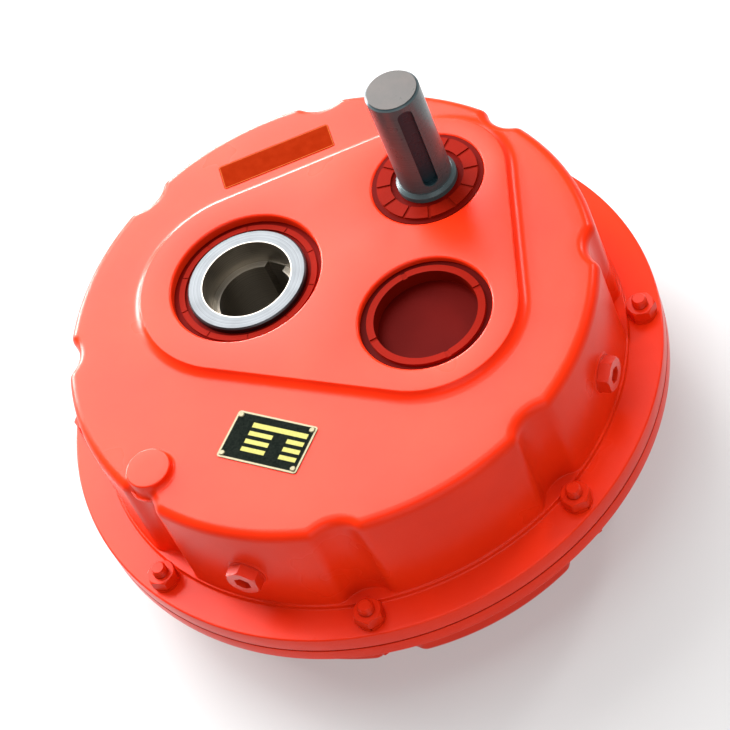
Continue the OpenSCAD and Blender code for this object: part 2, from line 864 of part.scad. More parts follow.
// One flank from root to tip: [radius, half angle]
function flank(m, teeth, steps) =
    let (p = pitch_r(m, teeth), root = p - root_depth * m, tip = p + m,
        start = max(root + 0.1, p * cos(transverse_angle)))
    [[root, half_tooth(start, m, teeth)],
        for (i = [0 : steps]) let (r = start + (tip - start) * i / steps)
        [r, half_tooth(r, m, teeth)]];

function gear_outline(m, teeth, steps) =
    let (f = flank(m, teeth, steps), n = len(f))
    [for (k = [0 : teeth - 1], i = [0 : 2 * n - 1])
        let (q = i < n ? f[i] : f[2 * n - 1 - i], side = i < n ? -1 : 1,
            a = k * 360 / teeth + side * q[1])
        q[0] * [cos(a), sin(a)]];

// Toothed cylinder from z0, w wide. A tooth points along angle at the middle height mid;
// hand is 1 for a right-hand and -1 for a left-hand helix.
module toothed(m, teeth, w, mid, angle, hand, steps, slices) {
    turn = w * tan(helix) / pitch_r(m, teeth) * 180 / PI;
    translate([0, 0, mid - w / 2]) rotate([0, 0, angle - hand * turn / 2])
        linear_extrude(height = w, twist = -hand * turn, slices = slices)
        polygon(gear_outline(m, teeth, steps));
}

// Web between hub and rim, with round windows
module web_cuts(w, mid, r_in, r_out, depth, windows) {
    window_r = 0.32 * (r_out - r_in);
    tube(r_in, r_out, mid - w / 2 - past, mid - w / 2 + depth);
    tube(r_in, r_out, mid + w / 2 - depth, mid + w / 2 + past);
    around(windows, 30) translate([(r_in + r_out) / 2, 0, mid - w / 2])
        cylinder(r = window_r, h = w);
}

module output_hub() color("silver") {
    z0 = -rear_pad_z + hub_set_back;
    z1 = front_pad_z - hub_set_back;
    difference() {
        rotate_extrude() {
            bar(hub_r, z0, z1, 1, 1);
            bar(gear_seat_r, -rear_bearing_z, front_bearing_z);
        }
        translate([0, 0, z0 - past]) cylinder(r = bore_r, h = z1 - z0 + 2 * past);
        translate([0, 0, z0 - past]) cylinder(r = mouth_r, h = mouth_l + past);
        translate([0, 0, z1 - mouth_l]) cylinder(r = mouth_r, h = mouth_l + past);
        rotate([0, 0, bore_key_angle]) translate([0, -bore_key_w / 2, z0 + past])
            cube([bore_r + bore_key_d, bore_key_w, z1 - z0 - 2 * past]);
        for (z = [output_gear_z - hub_circlip_t, output_gear_z + face_2])
            tube(gear_seat_r - hub_groove_d, gear_seat_r + past, z, z + hub_circlip_t);
        rotate([0, 0, output_key_angle])
            translate([gear_seat_r - output_key[2], 0, output_gear_mid])
            key_shape(output_key[0] + 2 * fit, output_key[1], face_2 - 4 + 2 * fit);
    }
}

module output_gear_key() color("dimgray") {
    rotate([0, 0, output_key_angle])
        translate([gear_seat_r - output_key[2] + fit, 0, output_gear_mid])
        key_shape(output_key[0], output_key[1] - fit, face_2 - 4);
}

module output_gear() color("slategray") {
    rim = pitch_r(module_2, teeth_4) - gear_rim_t;
    difference() {
        toothed(module_2, teeth_4, face_2, output_gear_mid, intermediate_angle, 1, 2, 3);
        translate([0, 0, output_gear_z - past])
            cylinder(r = gear_seat_r + fit, h = face_2 + 2 * past);
        rotate([0, 0, output_key_angle])
            translate([0, -output_key[0] / 2 - fit, output_gear_z - past])
            cube([gear_seat_r - output_key[2] + output_key[1] + 0.1,
                output_key[0] + 2 * fit, face_2 + 2 * past]);
        web_cuts(face_2, output_gear_mid, gear_seat_r + gear_boss_t, rim,
            gear_sink * face_2, 6);
    }
}

module intermediate_shaft() color("slategray") {
    pinion_r = pitch_r(module_2, teeth_3);
    pinion_end = output_gear_mid + pinion_2_w / 2;
    collar_r = pinion_r - root_depth * module_2 - 0.3;
    at(intermediate_at) difference() {
        union() {
            rotate_extrude() {
                bar(intermediate_journal_r, -rear_bearing_z - intermediate_bearing_w,
                    front_bearing_z + intermediate_bearing_w, 1, 1);
                bar(collar_r, -rear_bearing_z, wheel_z);
                bar(wheel_seat_r, wheel_z - past, wheel_z + face_1);
                bar(wheel_seat_r + 5, pinion_end - past, wheel_z);
            }
            toothed(module_2, teeth_3, pinion_2_w, output_gear_mid,
                intermediate_angle + 180 / teeth_3 + 180, -1, 4, 6);
        }
        translate([wheel_seat_r - wheel_key[2], 0, wheel_mid])
            key_shape(wheel_key[0] + 2 * fit, wheel_key[1], face_1 - 3 + 2 * fit);
    }
}

module intermediate_gear_key() color("dimgray") {
    at(intermediate_at) translate([wheel_seat_r - wheel_key[2] + fit, 0, wheel_mid])
        key_shape(wheel_key[0], wheel_key[1] - fit, face_1 - 3);
}

module intermediate_gear() color("slategray") {
    rim = pitch_r(module_1, teeth_2) - wheel_rim_t;
    at(intermediate_at) difference() {
        toothed(module_1, teeth_2, face_1, wheel_mid, input_angle, -1, 2, 2);
        translate([0, 0, wheel_z - past])
            cylinder(r = wheel_seat_r + fit, h = face_1 + 2 * past);
        translate([0, -wheel_key[0] / 2 - fit, wheel_z - past])
            cube([wheel_seat_r - wheel_key[2] + wheel_key[1] + 0.1,
                wheel_key[0] + 2 * fit, face_1 + 2 * past]);
        web_cuts(face_1, wheel_mid, wheel_seat_r + wheel_boss_t, rim,
            wheel_sink * face_1, 6);
    }
}

module intermediate_spacer() color("silver") {
    at(intermediate_at) tube(intermediate_journal_r + fit, wheel_seat_r + 3,
        wheel_z + face_1, front_bearing_z);
}

module input_shaft() color("silver") {
    body_r = pitch_r(module_1, teeth_1) - root_depth * module_1 - 0.3;
    shoulder_z = front_pad_z + shoulder_h;
    at(input_at) difference() {
        union() {
            rotate_extrude() {
                bar(input_journal_r, -rear_bearing_z - input_bearing_w, shoulder_z, 1, 2);
                bar(body_r, -rear_bearing_z, front_bearing_z);
                bar(extension_r, 0, shoulder_z + extension_l, 0, 1.5);
            }
            toothed(module_1, teeth_1, pinion_1_w, wheel_mid,
                input_angle + 180 + 180 / teeth_1, 1, 4, 5);
        }
        rotate([0, 0, slot_angle])
            translate([extension_r - slot_d, 0, shoulder_z + extension_l / 2])
            key_shape(slot_w, slot_d + past, slot_l);
    }
}

front_casing();
rear_casing();
casing_gasket();
casing_bolts();
casing_nuts();
casing_lock_washers();
dowel_pins();
oil_plugs();
oil_plug_washers();
nameplate();
nameplate_rivets();
label_plate();
output_front_seal();
output_rear_seal();
input_seal();
intermediate_front_cap();
intermediate_rear_cap();
input_rear_cap();
intermediate_bore_circlips();
input_bore_circlip();
output_bearing_outer_rings();
intermediate_bearing_outer_rings();
input_bearing_outer_rings();
output_hub();
output_gear();
output_gear_key();
output_gear_circlips();
output_bearing_inner_rings();
output_bearing_cages();
output_bearing_balls();
intermediate_shaft();
intermediate_gear();
intermediate_gear_key();
intermediate_spacer();
intermediate_bearing_inner_rings();
intermediate_bearing_cages();
intermediate_bearing_balls();
input_shaft();
input_bearing_inner_rings();
input_bearing_cages();
input_bearing_balls();
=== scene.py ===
# %% [markdown]
# # A shaft-mounted gear reducer, dressed for its portrait
# The CAD model already holds every piece at its real size: two casing halves, the hollow output
# hub, the input shaft, the gears and bearings. This notebook gives them their looks. It rebuilds
# the two painted castings with the soft edges that sand moulds leave, cuts real threads on the
# bolts, prints a plain plate, and mixes one material for each finish.

import math

import bmesh
import bpy
import numpy as np
from mathutils import Matrix, Vector


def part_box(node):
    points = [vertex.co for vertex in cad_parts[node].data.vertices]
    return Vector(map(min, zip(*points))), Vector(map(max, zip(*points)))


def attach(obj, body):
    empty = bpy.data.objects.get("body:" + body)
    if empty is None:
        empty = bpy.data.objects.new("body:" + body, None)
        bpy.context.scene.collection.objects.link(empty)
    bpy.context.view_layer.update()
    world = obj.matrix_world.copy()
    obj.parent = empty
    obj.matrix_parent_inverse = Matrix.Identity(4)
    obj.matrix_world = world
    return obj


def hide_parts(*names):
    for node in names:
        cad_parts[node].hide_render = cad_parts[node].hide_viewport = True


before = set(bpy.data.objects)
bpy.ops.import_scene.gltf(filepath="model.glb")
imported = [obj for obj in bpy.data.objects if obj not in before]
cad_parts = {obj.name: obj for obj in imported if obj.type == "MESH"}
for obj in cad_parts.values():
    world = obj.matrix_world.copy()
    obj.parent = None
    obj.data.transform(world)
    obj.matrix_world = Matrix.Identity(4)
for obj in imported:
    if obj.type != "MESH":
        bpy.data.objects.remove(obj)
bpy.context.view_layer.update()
MM = 0.001
print("pieces in the CAD model:", len(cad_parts))

# %% [markdown]
# ## Where things are
# The shafts' axes, the flange's radius and the heights of the plates are read off the CAD pieces.
# A round piece's middle and radius come from its box: half of its width is its radius, and the
# middle of the box is its axis. A box doesn't tell the castings' inner sizes, so those are typed
# where the castings are made.

# %% Axes, heights and radii from the CAD pieces
def middle(node):
    """The middle of a CAD piece's box, as a vector."""
    low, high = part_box(node)
    return (low + high) / 2


def radius(node):
    """Half of the width of a round CAD piece."""
    low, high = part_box(node)
    return (high.x - low.x) / 2


casing_at = np.array(middle("casing_gasket").xy)
hub_at = np.array(middle("output_hub").xy)
input_at = np.array(middle("input_seal").xy)
cap_at = np.array(middle("intermediate_front_cap").xy)
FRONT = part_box("front_casing")[1].z
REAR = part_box("rear_casing")[0].z
SHAFT_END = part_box("input_shaft")[1].z
print("front pad at", round(FRONT / MM, 1), "mm; rear pad at", round(REAR / MM, 1), "mm")
print("input axis", np.round(input_at / MM, 2), "cap axis", np.round(cap_at / MM, 2))

# %% [markdown]
# ## Camera
# The reducer lies on its back and is seen from above, so the camera looks steeply down. A long
# lens from far away keeps the circles of the casing close to true ellipses. The camera is also
# rolled about its own line of sight, which makes the round body look tipped towards us.

# %% Camera with a roll about its line of sight
CAMERA_AT = Vector((0.3574, -0.9303, 1.1563))
LOOK_AT = Vector((0.0618, -0.0459, 0.0400))
ROLL = math.radians(-26.09)
LENS = 111.95  # focal length and sensor width in millimetres, clip end in metres
SENSOR = 36
CLIP_END = 50

sight = (LOOK_AT - CAMERA_AT).normalized()
level = sight.cross(Vector((0, 0, 1))).normalized()
above = level.cross(sight)
right = math.cos(ROLL) * level + math.sin(ROLL) * above
up = right.cross(sight)
camera = bpy.data.objects.new("camera", bpy.data.cameras.new("camera"))
camera.data.lens = LENS
camera.data.sensor_width = SENSOR
camera.data.clip_end = CLIP_END
turn = Matrix((right, up, -sight)).transposed().to_4x4()
camera.matrix_world = Matrix.Translation(CAMERA_AT) @ turn
bpy.context.scene.collection.objects.link(camera)
bpy.context.scene.camera = camera
print("camera is", round((LOOK_AT - CAMERA_AT).length, 2), "m away")

# %% [markdown]
# ## Floor and light
# The reducer lies on a plain pale sheet under six soft lamps. A white sheet would mirror itself in
# the upright walls and bleach their red, so the card is grey and glows a little of its own. The
# overhead and window lamps stand near the place that the flat top mirrors to the camera, which
# lays a pale veil over the paint. The low door lamps behind draw the white line along each rounded
# edge, and a weak lamp in front fills the shadows.

# %% Floor
def link(name, mesh):
    """Puts a mesh into the scene as an object at the origin."""
    piece = bpy.data.objects.new(name, mesh)
    bpy.context.scene.collection.objects.link(piece)
    return piece


def floor_sheet(size, z):
    """A square sheet at height z, made of one face."""
    mesh = bpy.data.meshes.new("floor")
    s = size / 2
    mesh.from_pydata([(-s, -s, z), (s, -s, z), (s, s, z), (-s, s, z)], [], [(0, 1, 2, 3)])
    return link("floor", mesh)


FLOOR_SIZE = 30
FLOOR_GAP = 0.0004  # keeps the sheet clear of the rear pad
GREY_CARD = {
    "Base Color": (0.34, 0.34, 0.34, 1),
    "Emission Color": (1, 1, 1, 1),
    "Emission Strength": 0.32,
    "Roughness": 0.9,
    "Specular IOR Level": 0.1,
}
floor = floor_sheet(FLOOR_SIZE, REAR - FLOOR_GAP)
card = bpy.data.materials.new("grey card")
card.use_nodes = True
for label, value in GREY_CARD.items():
    card.node_tree.nodes["Principled BSDF"].inputs[label].default_value = value
floor.data.materials.append(card)
print("floor at", round((REAR - FLOOR_GAP) / MM, 1), "mm")


# %% Lights
def soft_light(name, towards, distance, size, power):
    """A square area light that shines on the casing from the direction towards."""
    lamp = bpy.data.lights.new(name, "AREA")
    lamp.energy = power
    lamp.size = size
    holder = bpy.data.objects.new(name, lamp)
    direction = Vector(towards).normalized()
    holder.location = LOOK_AT + distance * direction
    holder.rotation_euler = direction.to_track_quat("Z", "Y").to_euler()
    bpy.context.scene.collection.objects.link(holder)
    return lamp


# Each lamp's direction, its distance and side in metres, and its power in watts.
LIGHTS = {
    "overhead": ((-0.05, 0.10, 0.99), 2.2, 2.0, 44),
    "window": ((-0.41, 0.60, 0.69), 2.0, 1.6, 84),
    "door_left": ((-0.77, 0.60, 0.20), 2.2, 0.80, 72),
    "door_back": ((-0.36, 0.92, 0.17), 2.2, 0.70, 58),
    "door_right": ((0.60, 0.62, 0.50), 2.2, 0.30, 15),
    "front_fill": ((0.35, -0.82, 0.45), 2.4, 1.8, 18),
}
WORLD_STRENGTH = 0.16
lamps = [soft_light(name, *settings) for name, settings in LIGHTS.items()]
world = bpy.data.worlds.new("studio")
bpy.context.scene.world = world
world.use_nodes = True
world.node_tree.nodes["Background"].inputs["Color"].default_value = (1, 1, 1, 1)
world.node_tree.nodes["Background"].inputs["Strength"].default_value = WORLD_STRENGTH
bpy.context.scene.view_settings.view_transform = "Standard"
print("lamps and their watts:", {lamp.name: lamp.energy for lamp in lamps})

# %% [markdown]
# ## Small helpers for surfaces
# Every new surface is a grid of points worked out by numpy. Rows follow a profile and columns go
# round an axis, so one function can turn any such grid into quads, and join the last column to
# the first where the surface closes.

# %% Grids to meshes
def grid_faces(rows, cols, first=0):
    """Quads between neighbouring rows of a grid whose columns close into a ring."""
    r, c = np.meshgrid(np.arange(rows - 1), np.arange(cols), indexing="ij")
    n = (c + 1) % cols
    quads = np.stack([r * cols + c, r * cols + n, (r + 1) * cols + n, (r + 1) * cols + c], -1)
    return (quads.reshape(-1, 4) + first).tolist()


WELD = 2e-6  # metres within which two points become one
SLIVER = 1e-7  # metres below which an edge is dropped


class Skin:
    """Collects grids, flat fills and end faces, and makes one welded mesh of them."""

    def __init__(self):
        self.points = []
        self.faces = []
        self.count = 0

    def grid(self, points):
        """points: an array of rows x columns x 3, in millimetres."""
        rows, cols = points.shape[:2]
        self.faces += grid_faces(rows, cols, self.count)
        self.points.append(points.reshape(-1, 3))
        self.count += rows * cols

    def cap(self, ring):
        """Closes a ring of points with one polygon."""
        self.faces.append(list(range(self.count, self.count + len(ring))))
        self.points.append(np.asarray(ring))
        self.count += len(ring)

    def plate(self, rings):
        """Fills the flat area inside the first ring and outside the other rings."""
        bm = bmesh.new()
        for ring in rings:
            corners = [bm.verts.new(p) for p in ring]
            for a, b in zip(corners, corners[1:] + corners[:1]):
                bm.edges.new((a, b))
        bmesh.ops.triangle_fill(bm, edges=bm.edges[:], use_beauty=True, use_dissolve=False)
        bm.verts.index_update()
        self.points.append(np.array([v.co[:] for v in bm.verts]))
        self.faces += [[v.index + self.count for v in f.verts] for f in bm.faces]
        self.count += len(bm.verts)
        bm.free()

    def finish(self, name, smooth=40):
        """Welds the points, turns the faces outward and returns the object."""
        mesh = bpy.data.meshes.new(name)
        mesh.from_pydata((np.concatenate(self.points) * MM).tolist(), [], self.faces)
        bm = bmesh.new()
        bm.from_mesh(mesh)
        bmesh.ops.remove_doubles(bm, verts=bm.verts, dist=WELD)
        bmesh.ops.dissolve_degenerate(bm, dist=SLIVER, edges=bm.edges)
        bmesh.ops.recalc_face_normals(bm, faces=bm.faces)
        open_edges = sum(not e.is_manifold for e in bm.edges)
        bm.to_mesh(mesh)
        bm.free()
        mesh.shade_smooth()
        mesh.set_sharp_from_angle(angle=math.radians(smooth))
        print(name, "has", len(mesh.polygons), "faces and", open_edges, "open edges")
        return link(name, mesh)


def arc(cx, cy, r, a0, a1, n):
    """n points (cx + r cos a, cy + r sin a) of a profile, for a from a0 to a1 in degrees."""
    a = np.radians(np.linspace(a0, a1, n))
    return np.stack([cx + r * np.cos(a), cy + r * np.sin(a)], -1)


def lathe(profile, at=(0, 0), cols=96):
    """Turns a profile of (r, z) rows around a vertical axis: x = r cos t, y = r sin t."""
    profile = np.asarray(profile, float)
    t = np.linspace(0, 2 * np.pi, cols, endpoint=False)
    r, z = profile[:, :1], profile[:, 1:]
    return np.stack([at[0] + r * np.cos(t), at[1] + r * np.sin(t), z + 0 * t], -1)


# %% [markdown]
# ## The shape of the castings
# The wall is a slightly tapered drum with eight upright reliefs for the bolts. Seen from above
# its edge has three arcs that touch without a kink: the relief, a rounded corner and the drum. If
# the whole outline moves inward by some distance, the relief's radius grows by it and the other
# two shrink by it. Walking that distance along a quarter circle rounds the upper edge everywhere
# at once, also inside the reliefs, where it opens like a trumpet.

# %% Casting sizes in millimetres
FLANGE_R = round(radius("casing_gasket") / MM)
FLANGE_EDGE_R = 1.2
JOINT_Z = 0.5  # half of the gasket
JOINT_EDGE_R = 0.5
BOLT_CIRCLE = 188  # the radius of the ring that the bolts stand on
BOLTS = 8
LEDGE_R = 178  # a low step between flange and wall
LEDGE_H = 3
LEDGE_EDGE_R = 0.6
LEDGE_FILLET = 1
LEDGE_MARGIN = 0.65  # what the wall's foot leaves free of the ledge
DRUM_R = 176.5  # the wall at its foot
DRAFT = 2  # what the taper takes off the wall's radius by the top
FOOT_FILLET = 0.8
CORNER_R = 8.5
RELIEF_R = 20
RELIEF_SPREAD = 7.6  # degrees on each side of a bolt that get closer points
EDGE_R = 7
WALL_T = 8.5
FACE_T = 10
COLUMN_R = RELIEF_R + 7.5  # the metal round a relief, inside the casing
MOUTH_R = 1.8  # the rounding of a shaft's hole
BOSS_T = 8  # the wall of the boss round a bearing's seat
FRONT_HALF = {"face_z": 91, "flange_z": 13, "seat_z": 57}
REAR_HALF = {"face_z": 63, "flange_z": 11, "seat_z": 29}
SHAFTS = {
    "output": {"at": hub_at / MM, "pad": 71, "hole": 50.52, "seat": 62.52, "wide": 22},
    "cap": {"at": cap_at / MM, "pad": 58.5, "hole": 42.52, "seat": 42.52, "wide": 19},
    "input": {"at": input_at / MM, "pad": 51, "hole": 37.02, "seat": 40.02, "wide": 18},
}
CENTRE = casing_at / MM
print("drum", 2 * DRUM_R, "mm wide,", BOLTS, "bolts on a circle of", 2 * BOLT_CIRCLE, "mm")


# %% Outlines seen from above, as distances from the casing's axis
def around_casing():
    """Angles round the casing, close together near the reliefs and wider between them."""
    near = np.linspace(-RELIEF_SPREAD, RELIEF_SPREAD, 41)
    far = np.linspace(RELIEF_SPREAD, 360 / BOLTS - RELIEF_SPREAD, 44)[1:-1]
    steps = np.concatenate([near, far])
    starts = np.arange(BOLTS) * 360 / BOLTS
    return np.radians((starts[:, None] + steps).ravel())


def angle_to_bolt(angle):
    """The angle to the nearest bolt, never negative."""
    step = 2 * np.pi / BOLTS
    return np.abs((angle + step / 2) % step - step / 2)


def wall_outline(angle, drum_r, relief_r, corner_r):
    """The three arcs of the wall.

    With p the angle to the nearest bolt, B the bolt circle's radius, and R, s and k the radii of
    drum, relief and corner, the relief is B cos p - sqrt(s^2 - B^2 sin^2 p). The corner's middle
    lies R - k from the axis and s + k from the bolt, which gives its angle q by the law of
    cosines, and the corner is (R - k) cos(p - q) + sqrt(k^2 - (R - k)^2 sin^2(p - q)). Beyond it
    the drum is plain R.
    """
    p = angle_to_bolt(angle)
    c = drum_r - corner_r
    sides = c**2 + BOLT_CIRCLE**2 - (relief_r + corner_r) ** 2
    turn_c = np.arccos(sides / (2 * c * BOLT_CIRCLE))
    share = relief_r / (relief_r + corner_r)
    touch_x = BOLT_CIRCLE + share * (c * np.cos(turn_c) - BOLT_CIRCLE)
    turn_1 = np.arctan2(share * c * np.sin(turn_c), touch_x)
    inner = np.maximum(relief_r**2 - (BOLT_CIRCLE * np.sin(p)) ** 2, 0)
    relief = BOLT_CIRCLE * np.cos(p) - np.sqrt(inner)
    q = p - turn_c
    corner = c * np.cos(q) + np.sqrt(np.maximum(corner_r**2 - (c * np.sin(q)) ** 2, 0))
    return np.where(p < turn_1, relief, np.where(p < turn_c, corner, drum_r))


def cavity_outline(angle):
    """The room inside: a circle, pushed in by the columns of metal behind the reliefs.

    A column is the relief's arc, B cos p - sqrt(s^2 - B^2 sin^2 p), with its own radius s.
    """
    p = angle_to_bolt(angle)
    inner = COLUMN_R**2 - (BOLT_CIRCLE * np.sin(p)) ** 2
    column = BOLT_CIRCLE * np.cos(p) - np.sqrt(np.maximum(inner, 0))
    room = DRUM_R - WALL_T
    return np.where(inner > 0, np.minimum(column, room), room)


def pad_outline(angle, grow):
    """A belt round three discs, as a distance from the casing's axis.

    A ray leaves the belt where it is farthest out: on one of the discs, or on one of the
    straight runs that touch two discs. With u the ray's direction, it leaves a disc of middle a
    and radius r at u.a + sqrt((u.a)^2 - a.a + r^2). The direction n that a run faces is the line
    from middle to middle, turned back by a right angle and forward by the arcsine of the
    difference of the radii over the line's length. The ray meets a run that starts at s at
    n.s / n.u. grow moves the whole belt outward.
    """
    ray = np.stack([np.cos(angle), np.sin(angle)], -1)
    discs = [(s["at"] - CENTRE, s["pad"] + grow) for s in SHAFTS.values()]
    reach = np.zeros(len(angle))
    for at, r in discs:
        along = ray @ at
        inside = along**2 - at @ at + r**2
        reach = np.maximum(reach, np.where(inside > 0, along + np.sqrt(np.maximum(inside, 0)), 0))
    for (a, ra), (b, rb) in zip(discs, discs[1:] + discs[:1]):
        run = b - a
        length = np.hypot(*run)
        facing = np.arctan2(run[1], run[0]) - np.pi / 2 + np.arcsin((ra - rb) / length)
        out = np.array([np.cos(facing), np.sin(facing)])
        start, end = a + ra * out, b + rb * out
        along = ray @ out
        far = np.where(along > 1e-6, (start @ out) / np.where(along > 1e-6, along, 1), 0)
        place = (far[:, None] * ray - start) @ (end - start) / ((end - start) @ (end - start))
        reach = np.maximum(reach, np.where((place >= 0) & (place <= 1), far, 0))
    return reach


# %% [markdown]
# ## The pad's skirt
# The pad stands on the face in one soft sweep: a hollow fillet that turns into a small round
# edge. The two arcs touch, so the sine of the angle where they meet is the height between their
# middles over the sum of their radii.

# %% The pad's skirt, as steps outward from its outline and heights above the face
PAD_H = 5
PAD_FILLET = 8
PAD_EDGE_R = 1
RADII = PAD_FILLET + PAD_EDGE_R
SKIRT_LEAN = math.degrees(math.asin((PAD_FILLET - PAD_H + PAD_EDGE_R) / RADII))
TOP_X = PAD_FILLET - RADII * math.cos(math.radians(SKIRT_LEAN))
PAD_SKIRT = [
    *arc(PAD_FILLET, PAD_FILLET, PAD_FILLET, 270, 180 + SKIRT_LEAN, 9),
    *arc(TOP_X, PAD_H - PAD_EDGE_R, PAD_EDGE_R, SKIRT_LEAN, 90, 6)[1:],
]
SKIRT_Z = np.array([z for x, z in PAD_SKIRT])
print("the skirt has", len(PAD_SKIRT), "rings; its arcs meet at", round(SKIRT_LEAN, 1), "degrees")


# %% [markdown]
# ## Rings of a casting
# A casting's skin is one grid. Its rings start at the joint and climb over the flange, a low
# ledge, the wall and the rounded rim to the flat face, and then up the pad's skirt. Every ring
# has the same angles, so neighbouring rings join into quads although their outlines differ.

# %% Rings of the flange
def ring_at(angle, reach, z):
    """A closed ring of points at height z."""
    x = CENTRE[0] + reach * np.cos(angle)
    y = CENTRE[1] + reach * np.sin(angle)
    return np.stack([x, y, np.broadcast_to(z, angle.shape)], -1)


def flange_rows(angle, flange_z):
    """Rings over the joint's edge, the flange and its ledge: flats between quarter circles."""
    ledge_z = flange_z + LEDGE_H
    low_r = FLANGE_R - JOINT_EDGE_R
    around = [(low_r, JOINT_Z), *arc(low_r, JOINT_Z + JOINT_EDGE_R, JOINT_EDGE_R, -90, 0, 4)]
    for x, z, r, start, end, n in (
        (FLANGE_R - FLANGE_EDGE_R, flange_z - FLANGE_EDGE_R, FLANGE_EDGE_R, 0, 90, 6),
        (LEDGE_R + LEDGE_FILLET, flange_z + LEDGE_FILLET, LEDGE_FILLET, 270, 180, 5),
        (LEDGE_R - LEDGE_EDGE_R, ledge_z - LEDGE_EDGE_R, LEDGE_EDGE_R, 0, 90, 4),
    ):
        around += [*arc(x, z, r, start, end, n)]
    return [ring_at(angle, r, z) for r, z in around]


# %% Rings of the wall
def wall_rows(angle, ledge_z, face_z):
    """Rings from the foot's fillet up the tapered wall and round the rim.

    On the rim's quarter circle a ring moves inward by d: drum and corner lose d, and the relief
    gains it.
    """
    rows = []
    for out, z in arc(FOOT_FILLET, FOOT_FILLET, FOOT_FILLET, 270, 180, 4):
        reach = wall_outline(angle, DRUM_R, RELIEF_R, CORNER_R) + out
        rows.append(ring_at(angle, np.minimum(reach, LEDGE_R - LEDGE_MARGIN), ledge_z + z))
    rise = face_z - EDGE_R - ledge_z
    for share in np.linspace(0, 1, 9)[1:-1]:
        reach = wall_outline(angle, DRUM_R - DRAFT * share, RELIEF_R, CORNER_R)
        rows.append(ring_at(angle, reach, ledge_z + rise * share))
    for x, z in arc(0, face_z - EDGE_R, EDGE_R, 0, 90, 12):
        inward = EDGE_R - x
        top_r = DRUM_R - DRAFT - inward
        reach = wall_outline(angle, top_r, RELIEF_R + inward, CORNER_R - inward)
        rows.append(ring_at(angle, reach, z))
    return rows


# %% Rings of the face and the pad's skirt
RIM_GAP = 0.1  # the skirt stays this far inside the rim, and each ring a step more
RIM_STEP = 0.02


def skirt_rows(angle, face_z, rim):
    """Rings over the flat face, from the rim's ring to the pad, and up the pad's skirt.

    Where the pad comes close to the rim, a ring of its skirt is held back inside the rim and
    lowered to the height that the skirt has at that distance.
    """
    edge = np.hypot(*(rim - [*CENTRE, face_z])[:, :2].T)
    edge_at = np.array([pad_outline(angle, x) for x, z in PAD_SKIRT])
    foot = np.minimum(edge_at[0], edge - RIM_GAP)
    rows = [ring_at(angle, edge + part * (foot - edge), face_z) for part in (0.25, 0.5, 0.75)]
    for step, (reach, (x, z)) in enumerate(zip(edge_at, PAD_SKIRT)):
        kept = np.minimum(reach, edge - RIM_GAP - RIM_STEP * step)
        lift = [np.interp(k, column[::-1], SKIRT_Z[::-1]) for k, column in zip(kept, edge_at.T)]
        rows.append(ring_at(angle, kept, face_z + np.where(kept < reach, lift, z)))
    return rows


# %% [markdown]
# ## Two casing halves
# The same function makes both halves, with their own heights. The rear half is made upright and
# then mirrored downward, and the mesh's faces are turned outward after that. Flat pieces, filled
# between rings, close the pad's top round the shafts' holes and the ceiling round the bosses.

# %% One casing half
def hole_profile(shaft, pad_z, ceiling_z, seat_z):
    """A shaft's hole from the rounded mouth down to its bearing, and back up the boss."""
    hole, seat = shaft["hole"], shaft["seat"]
    rows = [*arc(hole + MOUTH_R, pad_z - MOUTH_R, MOUTH_R, 90, 180, 6)]
    rows += [(hole, seat_z + shaft["wide"]), (seat, seat_z + shaft["wide"])]
    rows += [(seat, seat_z), (seat + BOSS_T, seat_z), (seat + BOSS_T, ceiling_z)]
    return [row for i, row in enumerate(rows) if i == 0 or tuple(row) != tuple(rows[i - 1])]


def casting(name, holes, upside_down, face_z, flange_z, seat_z):
    """A casing half: skin, holes, the room inside and the flat pieces between them."""
    angle = around_casing()
    ceiling_z = face_z - FACE_T
    skin = Skin()
    rows = [ring_at(angle, cavity_outline(angle), JOINT_Z), *flange_rows(angle, flange_z)]
    rows += wall_rows(angle, flange_z + LEDGE_H, face_z)
    rows += skirt_rows(angle, face_z, rows[-1])
    skin.grid(np.stack(rows))
    tubes = []
    for key, hole in holes.items():
        shaft = dict(SHAFTS[key], hole=hole)
        tubes.append(lathe(hole_profile(shaft, face_z + PAD_H, ceiling_z, seat_z), shaft["at"]))
        skin.grid(tubes[-1])
    heights = np.linspace(JOINT_Z, ceiling_z, 4)
    room = [ring_at(angle, cavity_outline(angle), z) for z in heights]
    skin.grid(np.stack(room))
    skin.plate([rows[-1]] + [tube[0] for tube in tubes])
    skin.plate([room[-1]] + [tube[-1] for tube in tubes])
    if upside_down:
        skin.points = [points * [1, 1, -1] for points in skin.points]
    return skin.finish(name)


# %% Both halves
HOLES = {key: shaft["hole"] for key, shaft in SHAFTS.items()}
REAR_HOLES = dict(HOLES, input=SHAFTS["input"]["seat"])
front = casting("front_casting", HOLES, False, **FRONT_HALF)
rear = casting("rear_casting", REAR_HOLES, True, **REAR_HALF)
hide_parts("front_casing")
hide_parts("rear_casing")
for half in (front, rear):
    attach(half, "root")

# %% [markdown]
# ## The round boss by the rim
# A short round stud is cast onto the face, close to a relief, so its foot has to drop over the
# rounded rim. The foot's points ask the casting how high it is below them, and a soft fillet
# runs down to that height.

# %% Boss that follows the casting below it
BOSS_SUNK = 1.5  # how far the boss reaches into the casting


def face_height(x, y, face_z):
    """Height of the casting's face, flat and then down the quarter circle of the rim.

    With E the rim's radius and d the distance inside the wall's outline, at most E, it is
    face - E + sqrt(E^2 - (E - d)^2).
    """
    dx, dy = x - CENTRE[0], y - CENTRE[1]
    outline = wall_outline(np.arctan2(dy, dx), DRUM_R - DRAFT, RELIEF_R, CORNER_R)
    inward = np.clip(outline - np.hypot(dx, dy), 0, EDGE_R)
    return face_z - EDGE_R + np.sqrt(EDGE_R**2 - (EDGE_R - inward) ** 2)


